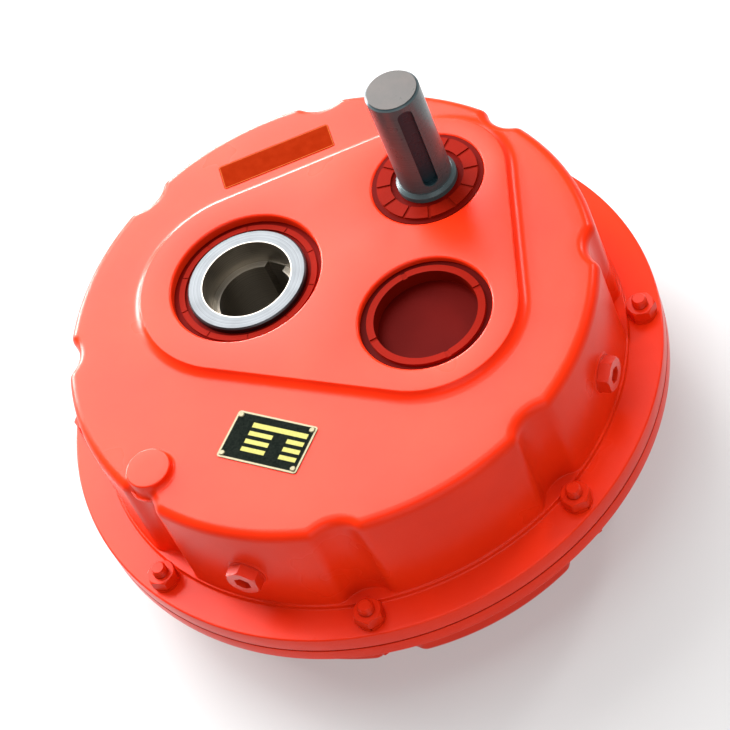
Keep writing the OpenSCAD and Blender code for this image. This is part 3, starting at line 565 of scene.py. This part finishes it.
def rim_boss(face_z, at_r, at_angle, r, fillet):
    """Rings from the middle of the boss's top, over its rounded edge, down to its foot.

    The foot is a hollow quarter circle whose height is counted from the casting below it.
    """
    at = CENTRE + at_r * np.array([math.cos(at_angle), math.sin(at_angle)])
    top, inner = face_z + PAD_H, r - PAD_EDGE_R
    edge = arc(inner, top - PAD_EDGE_R, PAD_EDGE_R, 70, 0, 4)
    rows = [*lathe([(r / 2, top), (inner, top), *edge], at)]
    for out, share in arc(fillet, fillet, fillet, 180, 268, 8) * [1, 1 / fillet]:
        ring = lathe([(r + out, 0)], at)[0]
        ground = face_height(ring[:, 0], ring[:, 1], face_z)
        ring[:, 2] = ground + share * fillet
        rows.append(ring)
    under = rows[-1] - [0, 0, BOSS_SUNK]
    skin = Skin()
    skin.grid(np.stack([*rows, under]))
    skin.cap(rows[0])
    skin.cap(under[::-1])
    return skin.finish("rim_boss")


BOSS = {"at_r": 155.7, "at_angle": math.radians(-137.5), "r": 14.3, "fillet": 2.5}
boss = rim_boss(FRONT_HALF["face_z"], **BOSS)
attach(boss, "root")

# %% [markdown]
# ## Spot faces under the oil plugs
# Each plug screws into a small flat that is cut, or cast, square to the plug on the curved wall.
# A thin disc with a rounded edge stands for it. It leans on the wall and its outer face lies
# where the plug's washer begins.

# %% Discs on the curved wall
def frame_at(direction):
    """Matrix whose columns are a level side, straight up, and outward at the angle direction."""
    out = np.array([math.cos(direction), math.sin(direction), 0])
    side = np.array([-math.sin(direction), math.cos(direction), 0])
    return np.stack([side, [0, 0, 1], out], 1)


plug_low, plug_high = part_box("oil_plugs")
PLUG_Z = (plug_low.z + plug_high.z) / 2 / MM
PLUGS = 4
FIRST_PLUG = math.radians(-22.5)
SPOT_AT = 175.6  # the flat's distance from the casing's axis
SPOT_R = 12.6  # the flat inside its rounded edge
SPOT_EDGE_R = 0.7
SPOT_DEPTH = 5
SPOT = [
    (0.5, SPOT_AT),
    (SPOT_R, SPOT_AT),
    *arc(SPOT_R, SPOT_AT - SPOT_EDGE_R, SPOT_EDGE_R, 80, 0, 4),
    (SPOT_R + 1, SPOT_AT - SPOT_DEPTH),
]
spots = Skin()
for k in range(PLUGS):
    direction = FIRST_PLUG + k * 2 * math.pi / PLUGS
    placed = lathe(SPOT, cols=64) @ frame_at(direction).T + [*CENTRE, PLUG_Z]
    spots.grid(placed)
    spots.cap(placed[0])
    spots.cap(placed[-1][::-1])
spot_faces = spots.finish("plug_spot_faces")
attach(spot_faces, "root")

# %% [markdown]
# ## Bolts with real threads
# The CAD bolts are plain rods. Here each one is a grid too: the radius swings between the thread's
# root and its crest as the height climbs, and the swing is shifted a little for each step round
# the axis, which makes it a helix. The head is a hexagon whose corners are cut by a cone.

# %% Threaded bolts
BOLT = {"length": 40, "head_h": 6.4, "flats": 17, "pitch": 1.5}
ROD_R = 5
THREAD_L = 16
THREAD_DEPTH = 0.75
TIP_H = 1.2
TIP = ((4.4, 0.4), (3.8, TIP_H))  # radii, and heights above the thread's end
HEAD_CUTS = ((0, 0.47), (1.1, 0.59))  # heights on the head, and the cone's radius there over flats


def hexagon_radius(angle, flats):
    """Distance from the middle to a hexagon's side: half the flats over the cosine."""
    side = (angle + np.pi / 6) % (np.pi / 3) - np.pi / 6
    return flats / 2 / np.cos(side)


def bolt_grid(length, head_h, flats, pitch, cols=48):
    """Head, plain shank and thread of a bolt that points up from z = 0, as rings of points.

    The thread's radius is R - D |2 ((z / pitch - t / 2 pi) mod 1) - 1|, with D its depth, which
    grows from nothing over the first turn.
    """
    t = np.linspace(0, 2 * np.pi, cols, endpoint=False)
    hexagon = hexagon_radius(t, flats)
    rows = []
    for z, cut in (*HEAD_CUTS, (head_h, HEAD_CUTS[-1][1])):
        rows.append((np.minimum(hexagon, flats * cut), z - head_h + 0 * t))
    rows.append((ROD_R + 0 * t, 0 * t))
    start, end = length - THREAD_L, length - TIP_H
    for z in np.arange(start, end, pitch / 8):
        wave = np.abs(((z / pitch - t / (2 * np.pi)) % 1) * 2 - 1)
        fade = min(1, (z - start) / pitch)
        rows.append((ROD_R - THREAD_DEPTH * fade * wave, z + 0 * t))
    for r, rise in TIP:
        rows.append((r + 0 * t, end + rise + 0 * t))
    r, z = np.stack([row[0] for row in rows]), np.stack([row[1] for row in rows])
    return np.stack([r * np.cos(t), r * np.sin(t), z], -1)


bolts = Skin()
bolt_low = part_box("casing_bolts")[0]
for k in range(BOLTS):
    direction = k * 2 * math.pi / BOLTS
    at = CENTRE + BOLT_CIRCLE * np.array([math.cos(direction), math.sin(direction)])
    grid = bolt_grid(**BOLT) + [*at, bolt_low.z / MM + BOLT["head_h"]]
    bolts.grid(grid)
    bolts.cap(grid[0][::-1])
    bolts.cap(grid[-1])
threaded = bolts.finish("threaded_bolts", smooth=35)
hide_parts("casing_bolts")
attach(threaded, "root")

# %% [markdown]
# ## The nameplate
# A brass plate with a black printed ground. Bare brass is left as a thin frame and as the empty
# fields that a workshop would stamp. The black ground is one thin sheet and the fields are small
# raised sheets on it, all laid out in the plate's own directions and then turned into place.

# %% Thin sheets on a flat plate
def box_sheet(x0, x1, y0, y1, z0, z1):
    """The eight corners of a flat box, as a bottom ring and a top ring."""
    ring = np.array([(x0, y0), (x1, y0), (x1, y1), (x0, y1)], float)
    return np.stack([np.column_stack([ring, 4 * [z]]) for z in (z0, z1)])


def sheets(name, boxes, at, turn, z):
    """Flat boxes in a plate's own directions, onto the casing: (x cos - y sin, x sin + y cos)."""
    c, s = math.cos(turn), math.sin(turn)
    spin = np.array([(c, -s, 0), (s, c, 0), (0, 0, 1)])
    skin = Skin()
    for sizes in boxes:
        grid = box_sheet(*sizes) @ spin.T + [*(CENTRE + at), z]
        skin.grid(grid)
        skin.cap(grid[0][::-1])
        skin.cap(grid[-1])
    return skin.finish(name)


PLATE_AT = np.array([-39.5, -100.5])
PLATE_TURN = math.radians(-26.5)
PLATE_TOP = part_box("nameplate")[1].z / MM
PLATE_W, PLATE_L = 56, 34.5
BARE_FRAME = 1.3
PRINT = (-0.2, 0.04)  # lower and upper face of the black print, from the plate's top
FIELD = (0, 0.09)
HEAD_FIELD = (-14.4, 24.2, 7.3, 10.8)
FIELD_COLUMNS = ((-14.4, 2.2), (12.3, 24.2))
FIELD_ROWS = ((1.5, 4.6), (-4.3, -1.2), (-10.0, -6.9))
half_w, half_l = PLATE_W / 2 - BARE_FRAME, PLATE_L / 2 - BARE_FRAME
ground = [(-half_w, half_w, -half_l, half_l, *PRINT)]
fields = [HEAD_FIELD] + [(*column, *row) for row in FIELD_ROWS for column in FIELD_COLUMNS]
fields = [(*sizes, *FIELD) for sizes in fields]
plate_ground = sheets("nameplate_ground", ground, PLATE_AT, PLATE_TURN, PLATE_TOP)
plate_fields = sheets("nameplate_fields", fields, PLATE_AT, PLATE_TURN, PLATE_TOP)
for sheet in (plate_ground, plate_fields):
    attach(sheet, "root")

# %% [markdown]
# ## The sticker's edge line
# The sticker above the pad is a plain film. Four thin strips just inside its edge stand for the
# printed line round it. The upright ones end short of the level ones, so that none overlap.

# %% Edge line of the sticker
LABEL_AT = np.array([-31, 131.5])
LABEL_TURN = math.radians(12.5)
LABEL_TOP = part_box("label_plate")[1].z / MM
HALF_W, HALF_H = 39.0, 10.25
LINE = 0.5
LINE_GAP = 0.05
LINE_PRINT = (-0.1, 0.03)
strips = [(-HALF_W, HALF_W, y, y + LINE) for y in (HALF_H - LINE, -HALF_H)]
end = HALF_H - LINE - LINE_GAP
strips += [(x, x + LINE, -end, end) for x in (-HALF_W, HALF_W - LINE)]
strips = [(*sizes, *LINE_PRINT) for sizes in strips]
label_border = sheets("label_border", strips, LABEL_AT, LABEL_TURN, LABEL_TOP)
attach(label_border, "root")

# %% [markdown]
# ## Finishes
# Materials are built from small node groups. A group gives a mask or a height that changes over
# the surface, and each material mixes it in with values of its own. All of them read object
# coordinates in metres, so a pattern has its real size on every piece.

# %% Node helpers
def new_group(name, inputs, outputs):
    """A shader node group with named float inputs and float outputs."""
    group = bpy.data.node_groups.new(name, "ShaderNodeTree")
    for label, value in inputs.items():
        kind = "NodeSocketVector" if value is None else "NodeSocketFloat"
        socket = group.interface.new_socket(label, in_out="INPUT", socket_type=kind)
        if value is not None:
            socket.default_value = value
    for label in outputs:
        group.interface.new_socket(label, in_out="OUTPUT", socket_type="NodeSocketFloat")
    return group, group.nodes.new("NodeGroupInput"), group.nodes.new("NodeGroupOutput")


def add(tree, kind, inputs=None, **settings):
    """Adds a node, sets its properties, and sets or links its inputs."""
    node = tree.nodes.new(kind)
    for key, value in settings.items():
        setattr(node, key, value)
    for key, value in (inputs or {}).items():
        if isinstance(value, bpy.types.NodeSocket):
            tree.links.new(value, node.inputs[key])
        else:
            node.inputs[key].default_value = value
    return node


def noise(tree, vector, scale, detail=2.0, rough=0.5, **more):
    """A Noise Texture's factor at a scale in cycles per metre."""
    inputs = {"Vector": vector, "Scale": scale, "Detail": detail, "Roughness": rough}
    return add(tree, "ShaderNodeTexNoise", inputs, **more).outputs["Fac"]


def math_node(tree, operation, a, b=0.0):
    """The result of a Math node."""
    return add(tree, "ShaderNodeMath", {0: a, 1: b}, operation=operation).outputs[0]


def spread(tree, value, low, high, to_low=0.0, to_high=1.0):
    """Stretches the range low..high of a value to to_low..to_high and clamps it."""
    inputs = {"Value": value, "From Min": low, "From Max": high}
    inputs.update({"To Min": to_low, "To Max": to_high})
    return add(tree, "ShaderNodeMapRange", inputs).outputs["Result"]


def emboss(tree, shader, height, strength, distance):
    """Bumps a surface by a height that stands for a distance in metres."""
    inputs = {"Height": height, "Strength": strength, "Distance": distance}
    relief = add(tree, "ShaderNodeBump", inputs)
    tree.links.new(relief.outputs["Normal"], shader.inputs["Normal"])


# %% [markdown]
# ### Paint over a sand casting
# The mould leaves a slow waviness and a fine grain, and the sprayed paint rounds both off. Two
# noises at different sizes give the height, and a third, very wide one gives the cloudiness that
# keeps a large red face from looking like plastic. The paint's specular level is low, because a
# strong mirror of the pale surroundings would bleach the red. Only the oil plugs shine more.

# %% Group: sprayed casting
def casting_group():
    """Cloudiness, and a height of waves and grain added up."""
    inputs = {"Position": None, "Grain": 900.0}
    group, source, out = new_group("sprayed casting", inputs, ["Cloud", "Height"])
    place = source.outputs["Position"]
    cloud = noise(group, place, 14, 3, 0.55)
    waves = noise(group, place, 70, 2, 0.5)
    grain = noise(group, place, source.outputs["Grain"], 2, 0.6)
    waves = math_node(group, "MULTIPLY", waves, 0.55)
    grain = math_node(group, "MULTIPLY", grain, 0.35)
    group.links.new(cloud, out.inputs["Cloud"])
    group.links.new(math_node(group, "ADD", waves, grain), out.inputs["Height"])
    return group


CASTING = casting_group()


# %% Red paint
def object_place(tree):
    """Object coordinates, in metres."""
    return add(tree, "ShaderNodeTexCoord").outputs["Object"]


def blank_material(name, **constants):
    """A material with only a Principled BSDF, whose constant sockets are set by name."""
    material = bpy.data.materials.new(name)
    material.use_nodes = True
    tree = material.node_tree
    shader = tree.nodes["Principled BSDF"]
    for label, value in constants.items():
        shader.inputs[label.replace("_", " ")].default_value = value
    return material, tree, shader


def mix_colour(tree, factor, a, b):
    """Mixes two colours by a factor."""
    node = add(tree, "ShaderNodeMix", data_type="RGBA")
    tree.links.new(factor, node.inputs["Factor"])
    for socket, colour in ((node.inputs[6], a), (node.inputs[7], b)):
        if isinstance(colour, bpy.types.NodeSocket):
            tree.links.new(colour, socket)
        else:
            socket.default_value = (*colour, 1)
    return node.outputs[2]


def red_paint(name, dark, light, rough, bump, grain, shine=0.14):
    """Semi-gloss paint: cloudy red, slightly uneven gloss and the grain of the casting."""
    material, tree, shader = blank_material(name, Specular_IOR_Level=shine)
    place = object_place(tree)
    cast = add(tree, "ShaderNodeGroup", node_tree=CASTING)
    tree.links.new(place, cast.inputs["Position"])
    cast.inputs["Grain"].default_value = grain
    colour = mix_colour(tree, spread(tree, cast.outputs["Cloud"], 0.3, 0.7), dark, light)
    tree.links.new(colour, shader.inputs["Base Color"])
    gloss = spread(tree, cast.outputs["Cloud"], 0, 1, rough + 0.05, rough - 0.05)
    tree.links.new(gloss, shader.inputs["Roughness"])
    emboss(tree, shader, cast.outputs["Height"], bump, 0.0004)
    return material


CASTING_REDS = (0.70, 0.022, 0.003), (0.82, 0.029, 0.004)
FITTING_REDS = (0.60, 0.018, 0.002), (0.72, 0.024, 0.003)
casting_red = red_paint("casting red", *CASTING_REDS, rough=0.29, bump=0.35, grain=900)
fitting_red = red_paint("fitting red", *FITTING_REDS, rough=0.34, bump=0.25, grain=1600)
plug_red = red_paint("plug red", *FITTING_REDS, rough=0.26, bump=0.25, grain=1600, shine=0.7)
print("red paints:", [m.name for m in (casting_red, fitting_red, plug_red)])

# %% [markdown]
# ### Turned steel
# A lathe leaves fine rings: lines round a shaft, and circles on its end. Both come from one
# number, the distance from the axis plus the height along it, because one of the two stays the
# same on each surface. A one-dimensional noise of that number draws the rings.

# %% Group: lathe marks
def distance_from_axis(tree, place):
    """The length of what is left of a place when its height is set to nought."""
    flat = add(tree, "ShaderNodeVectorMath", {0: place, 1: (1, 1, 0)}, operation="MULTIPLY")
    length = add(tree, "ShaderNodeVectorMath", {0: flat.outputs[0]}, operation="LENGTH")
    return length.outputs["Value"]


def lathe_group():
    """Rings, wide stains, and the distance from the axis that both are drawn round."""
    inputs = {"Position": None, "Rings": 900.0}
    group, source, out = new_group("lathe marks", inputs, ["Ring", "Stain", "Away"])
    place = source.outputs["Position"]
    away = distance_from_axis(group, place)
    parts = add(group, "ShaderNodeSeparateXYZ", {0: place})
    run = math_node(group, "ADD", away, parts.outputs["Z"])
    inputs = {"W": run, "Scale": source.outputs["Rings"], "Detail": 3.0, "Roughness": 0.7}
    rings = add(group, "ShaderNodeTexNoise", inputs, noise_dimensions="1D").outputs["Fac"]
    stain = noise(group, place, 60, 4, 0.6)
    for label, value in {"Ring": rings, "Stain": stain, "Away": away}.items():
        group.links.new(value, out.inputs[label])
    return group


LATHE = lathe_group()


# %% Steel turned round an axis
def centred(tree, axis):
    """Object coordinates moved so that the upright axis at the place axis is their middle."""
    place = add(tree, "ShaderNodeMapping", {"Vector": object_place(tree)})
    place.inputs["Location"].default_value = (-axis[0], -axis[1], 0)
    return place.outputs[0]


EDGE_BLUR = 0.0003  # metres over which one shade of steel gives way to another
END_BLUR = 0.0001


def shaded(tones, shade):
    """Colours with one factor each on their red, green and blue."""
    return [tuple(c * k for c, k in zip(tone, shade)) for tone in tones]


def turned_steel(name, axis, dark, light, rough, rings, core=None, end=None, **constants):
    """Steel with lathe rings round an axis.

    core is a radius and a shade for what lies inside it, end a height and a shade for what lies
    above it.
    """
    material, tree, shader = blank_material(name, **dict({"Metallic": 1.0}, **constants))
    marks = add(tree, "ShaderNodeGroup", node_tree=LATHE)
    tree.links.new(centred(tree, axis), marks.inputs["Position"])
    marks.inputs["Rings"].default_value = rings
    ring = spread(tree, marks.outputs["Ring"], 0.25, 0.75)
    colour = mix_colour(tree, ring, dark, light)
    if core:
        edge, shade = core
        outside = spread(tree, marks.outputs["Away"], edge - EDGE_BLUR, edge + EDGE_BLUR)
        inner = mix_colour(tree, ring, *shaded((dark, light), shade))
        colour = mix_colour(tree, outside, inner, colour)
    if end:
        level, shade = end
        height = add(tree, "ShaderNodeSeparateXYZ", {"Vector": object_place(tree)}).outputs["Z"]
        above = spread(tree, height, level - END_BLUR, level)
        stain = spread(tree, marks.outputs["Stain"], 0.3, 0.7)
        face = mix_colour(tree, stain, *shaded((dark, light), shade))
        colour = mix_colour(tree, above, colour, face)
    tree.links.new(colour, shader.inputs["Base Color"])
    gloss = spread(tree, marks.outputs["Stain"], 0.3, 0.7, rough - 0.07, rough + 0.07)
    tree.links.new(gloss, shader.inputs["Roughness"])
    emboss(tree, shader, marks.outputs["Ring"], 0.25, 0.0001)
    return material


# Shades: the hub's oily bore is lighter and warmer than its end. The floor of the shaft's key
# slot is painted shade: darker than the shaft, and bluer to cancel the red that it mirrors. The
# shaft's steel is tinted blue-green against the red light of the casing, and the sawn end is
# warmer.
BORE = (0.0305, (4.6, 3.9, 3.1))
SLOT_SHADE = (0.0166, (0.22, 0.40, 0.48))
SAWN_END = (SHAFT_END - 0.0002, (0.62, 0.40, 0.35))
hub_steel = turned_steel(
    "hub steel", hub_at, (0.050, 0.054, 0.058), (0.105, 0.111, 0.117),
    rough=0.40, rings=1400, core=BORE,
)
# Inside the slot's radius the shaft gets painted shade, and its steel is tinted blue-green against
# the red light that the casing throws on it.
shaft_steel = turned_steel(
    "shaft steel", input_at, (0.053, 0.079, 0.084), (0.096, 0.125, 0.131),
    rough=0.30, rings=1100, core=SLOT_SHADE, end=SAWN_END, Metallic=0.2, Specular_IOR_Level=0.25,
)
inner_steel = turned_steel(
    "inner shaft steel", cap_at, (0.34, 0.34, 0.35), (0.5, 0.5, 0.5), rough=0.34, rings=1200
)
ring_steel = turned_steel(
    "bearing steel", hub_at, (0.62, 0.62, 0.63), (0.70, 0.70, 0.71), rough=0.14, rings=2500
)
cage_brass = turned_steel(
    "cage brass", hub_at, (0.55, 0.36, 0.12), (0.66, 0.45, 0.18), rough=0.34, rings=1800
)
print("the key slot is shaded within", round(SLOT_SHADE[0] / MM, 1), "mm of the axis")

# %% [markdown]
# ### Seals and caps
# The closing caps and the seals are pressed parts with a rubber skin, painted over together with
# the casing. The low parts beside their raised ring lie in shade, and that shade is painted into
# their colour as a dark, dull red. The distance from the axis tells the ring from what lies lower.

# %% Red ring, with painted shade in the low parts beside it
RING_BLUR = 0.0004


def ring_with_painted_shade(name, axis, ring_in, ring_out, low, high):
    """Red that is bright between two radii, with painted shade, a dark dull red, on both sides."""
    material, tree, shader = blank_material(name, Specular_IOR_Level=0.02)
    away = distance_from_axis(tree, centred(tree, axis))
    cast = add(tree, "ShaderNodeGroup", node_tree=CASTING)
    tree.links.new(object_place(tree), cast.inputs["Position"])
    inner = spread(tree, away, ring_in * MM - RING_BLUR, ring_in * MM)
    outer = spread(tree, away, ring_out * MM + RING_BLUR, ring_out * MM)
    out_of_shade = math_node(tree, "MULTIPLY", inner, outer)
    patchy = spread(tree, cast.outputs["Cloud"], 0.3, 0.7)
    bright = mix_colour(tree, patchy, high, tuple(1.2 * c for c in high))
    # The low parts beside the ring get painted shade: a dark, dull red.
    recess_shade = mix_colour(tree, patchy, low, tuple(1.6 * c for c in low))
    tree.links.new(mix_colour(tree, out_of_shade, recess_shade, bright), shader.inputs["Base Color"])
    gloss = spread(tree, cast.outputs["Cloud"], 0, 1, 0.60, 0.42)
    tree.links.new(gloss, shader.inputs["Roughness"])
    emboss(tree, shader, cast.outputs["Height"], 0.3, 0.0003)
    return material


# The two dark reds below are painted shade, for the shade in a cap's dish and in the channel
# beside a seal's ring.
DISH_SHADE = (0.055, 0.0007, 0.0002)  # inside a cap
CHANNEL_SHADE = (0.085, 0.0012, 0.0003)  # beside a seal's ring
RAISED = (0.185, 0.0052, 0.0012)
cap_red = ring_with_painted_shade("cap red", cap_at, 33.4, 38.0, DISH_SHADE, RAISED)
small_cap_red = ring_with_painted_shade("small cap red", input_at, 30.9, 35.5, DISH_SHADE, RAISED)
output_seal_red = ring_with_painted_shade("output seal red", hub_at, 42.7, 46.7, CHANNEL_SHADE, RAISED)
input_seal_red = ring_with_painted_shade("input seal red", input_at, 24.4, 33.7, CHANNEL_SHADE, RAISED)

# %% [markdown]
# ### Smaller finishes
# Spring steel is blued and a little oily, and the plate is brass printed in black. The gasket's
# edge is painted over with the castings. The gasket, the print and the sticker are dull: they
# mirror nothing, since a pale mirror image would hide colours as deep as theirs.

# %% Speckled finish for the small pieces
def speckled(name, dark, light, rough, scale, bump=0.1, **constants):
    """Two colours mixed by a noise, which also shifts the roughness and the height."""
    material, tree, shader = blank_material(name, **constants)
    grain = noise(tree, object_place(tree), scale, 3, 0.6)
    mask = spread(tree, grain, 0.3, 0.7)
    tree.links.new(mix_colour(tree, mask, dark, light), shader.inputs["Base Color"])
    gloss = spread(tree, mask, 0, 1, rough - 0.06, rough + 0.06)
    tree.links.new(gloss, shader.inputs["Roughness"])
    emboss(tree, shader, grain, bump, 0.0001)
    return material


DULL = {"Specular_IOR_Level": 0.0}
gear_steel = speckled(
    "gear steel", (0.24, 0.24, 0.25), (0.36, 0.36, 0.37), rough=0.32, scale=500, Metallic=1.0
)
spring_steel = speckled(
    "spring steel", (0.05, 0.055, 0.07), (0.10, 0.11, 0.13), rough=0.36, scale=900, Metallic=1.0
)
plate_brass = speckled(
    "plate brass", (0.16, 0.14, 0.07), (0.24, 0.21, 0.12), rough=0.5, scale=700, Metallic=0.3
)
gasket_fibre = speckled(
    "painted gasket", (0.30, 0.009, 0.002), (0.42, 0.014, 0.003), rough=0.6, scale=600, **DULL
)
plate_black = speckled(
    "plate black", (0.004, 0.006, 0.005), (0.012, 0.015, 0.012), rough=0.6, scale=800, **DULL
)
plate_fields_ink = speckled(
    "plate fields", (0.34, 0.32, 0.09), (0.42, 0.40, 0.13), rough=0.6, scale=900, **DULL
)
label_film = speckled(
    "label film", (0.175, 0.0105, 0.0015), (0.205, 0.0140, 0.0024),
    rough=0.7, scale=150, bump=0.04, **DULL,
)
label_ink = speckled(
    "label ink", (0.34, 0.070, 0.018), (0.40, 0.085, 0.024),
    rough=0.7, scale=400, bump=0.04, **DULL,
)
print("materials so far:", len(bpy.data.materials))

# %% Which finish goes on which piece
FINISHES = {
    casting_red: ["front_casing", "rear_casing"],
    fitting_red: ["casing_bolts", "casing_nuts", "casing_lock_washers"],
    plug_red: ["oil_plugs", "oil_plug_washers"],
    cap_red: ["intermediate_front_cap", "intermediate_rear_cap"],
    small_cap_red: ["input_rear_cap"],
    output_seal_red: ["output_front_seal", "output_rear_seal"],
    input_seal_red: ["input_seal"],
    hub_steel: ["output_hub", "dowel_pins"],
    shaft_steel: ["input_shaft"],
    inner_steel: ["intermediate_shaft", "intermediate_spacer"],
    gear_steel: ["output_gear", "intermediate_gear"],
    spring_steel: [
        "intermediate_bore_circlips", "input_bore_circlip", "output_gear_circlips",
        "output_gear_key", "intermediate_gear_key",
    ],
    ring_steel: [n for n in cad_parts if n.endswith(("_rings", "_balls"))],
    cage_brass: [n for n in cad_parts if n.endswith("_cages")],
    gasket_fibre: ["casing_gasket"],
    plate_brass: ["nameplate", "nameplate_rivets"],
    label_film: ["label_plate"],
}


def wear(piece, material):
    """Gives a piece one material."""
    piece.data.materials.clear()
    piece.data.materials.append(material)


for material, names in FINISHES.items():
    for name in names:
        wear(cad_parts[name], material)
for piece in (front, rear, boss, spot_faces):
    wear(piece, casting_red)
wear(threaded, fitting_red)
wear(plate_ground, plate_black)
wear(plate_fields, plate_fields_ink)
wear(label_border, label_ink)
finished = {name for names in FINISHES.values() for name in names}
unfinished = set(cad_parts) - finished
print("CAD pieces without a finish:", sorted(unfinished))
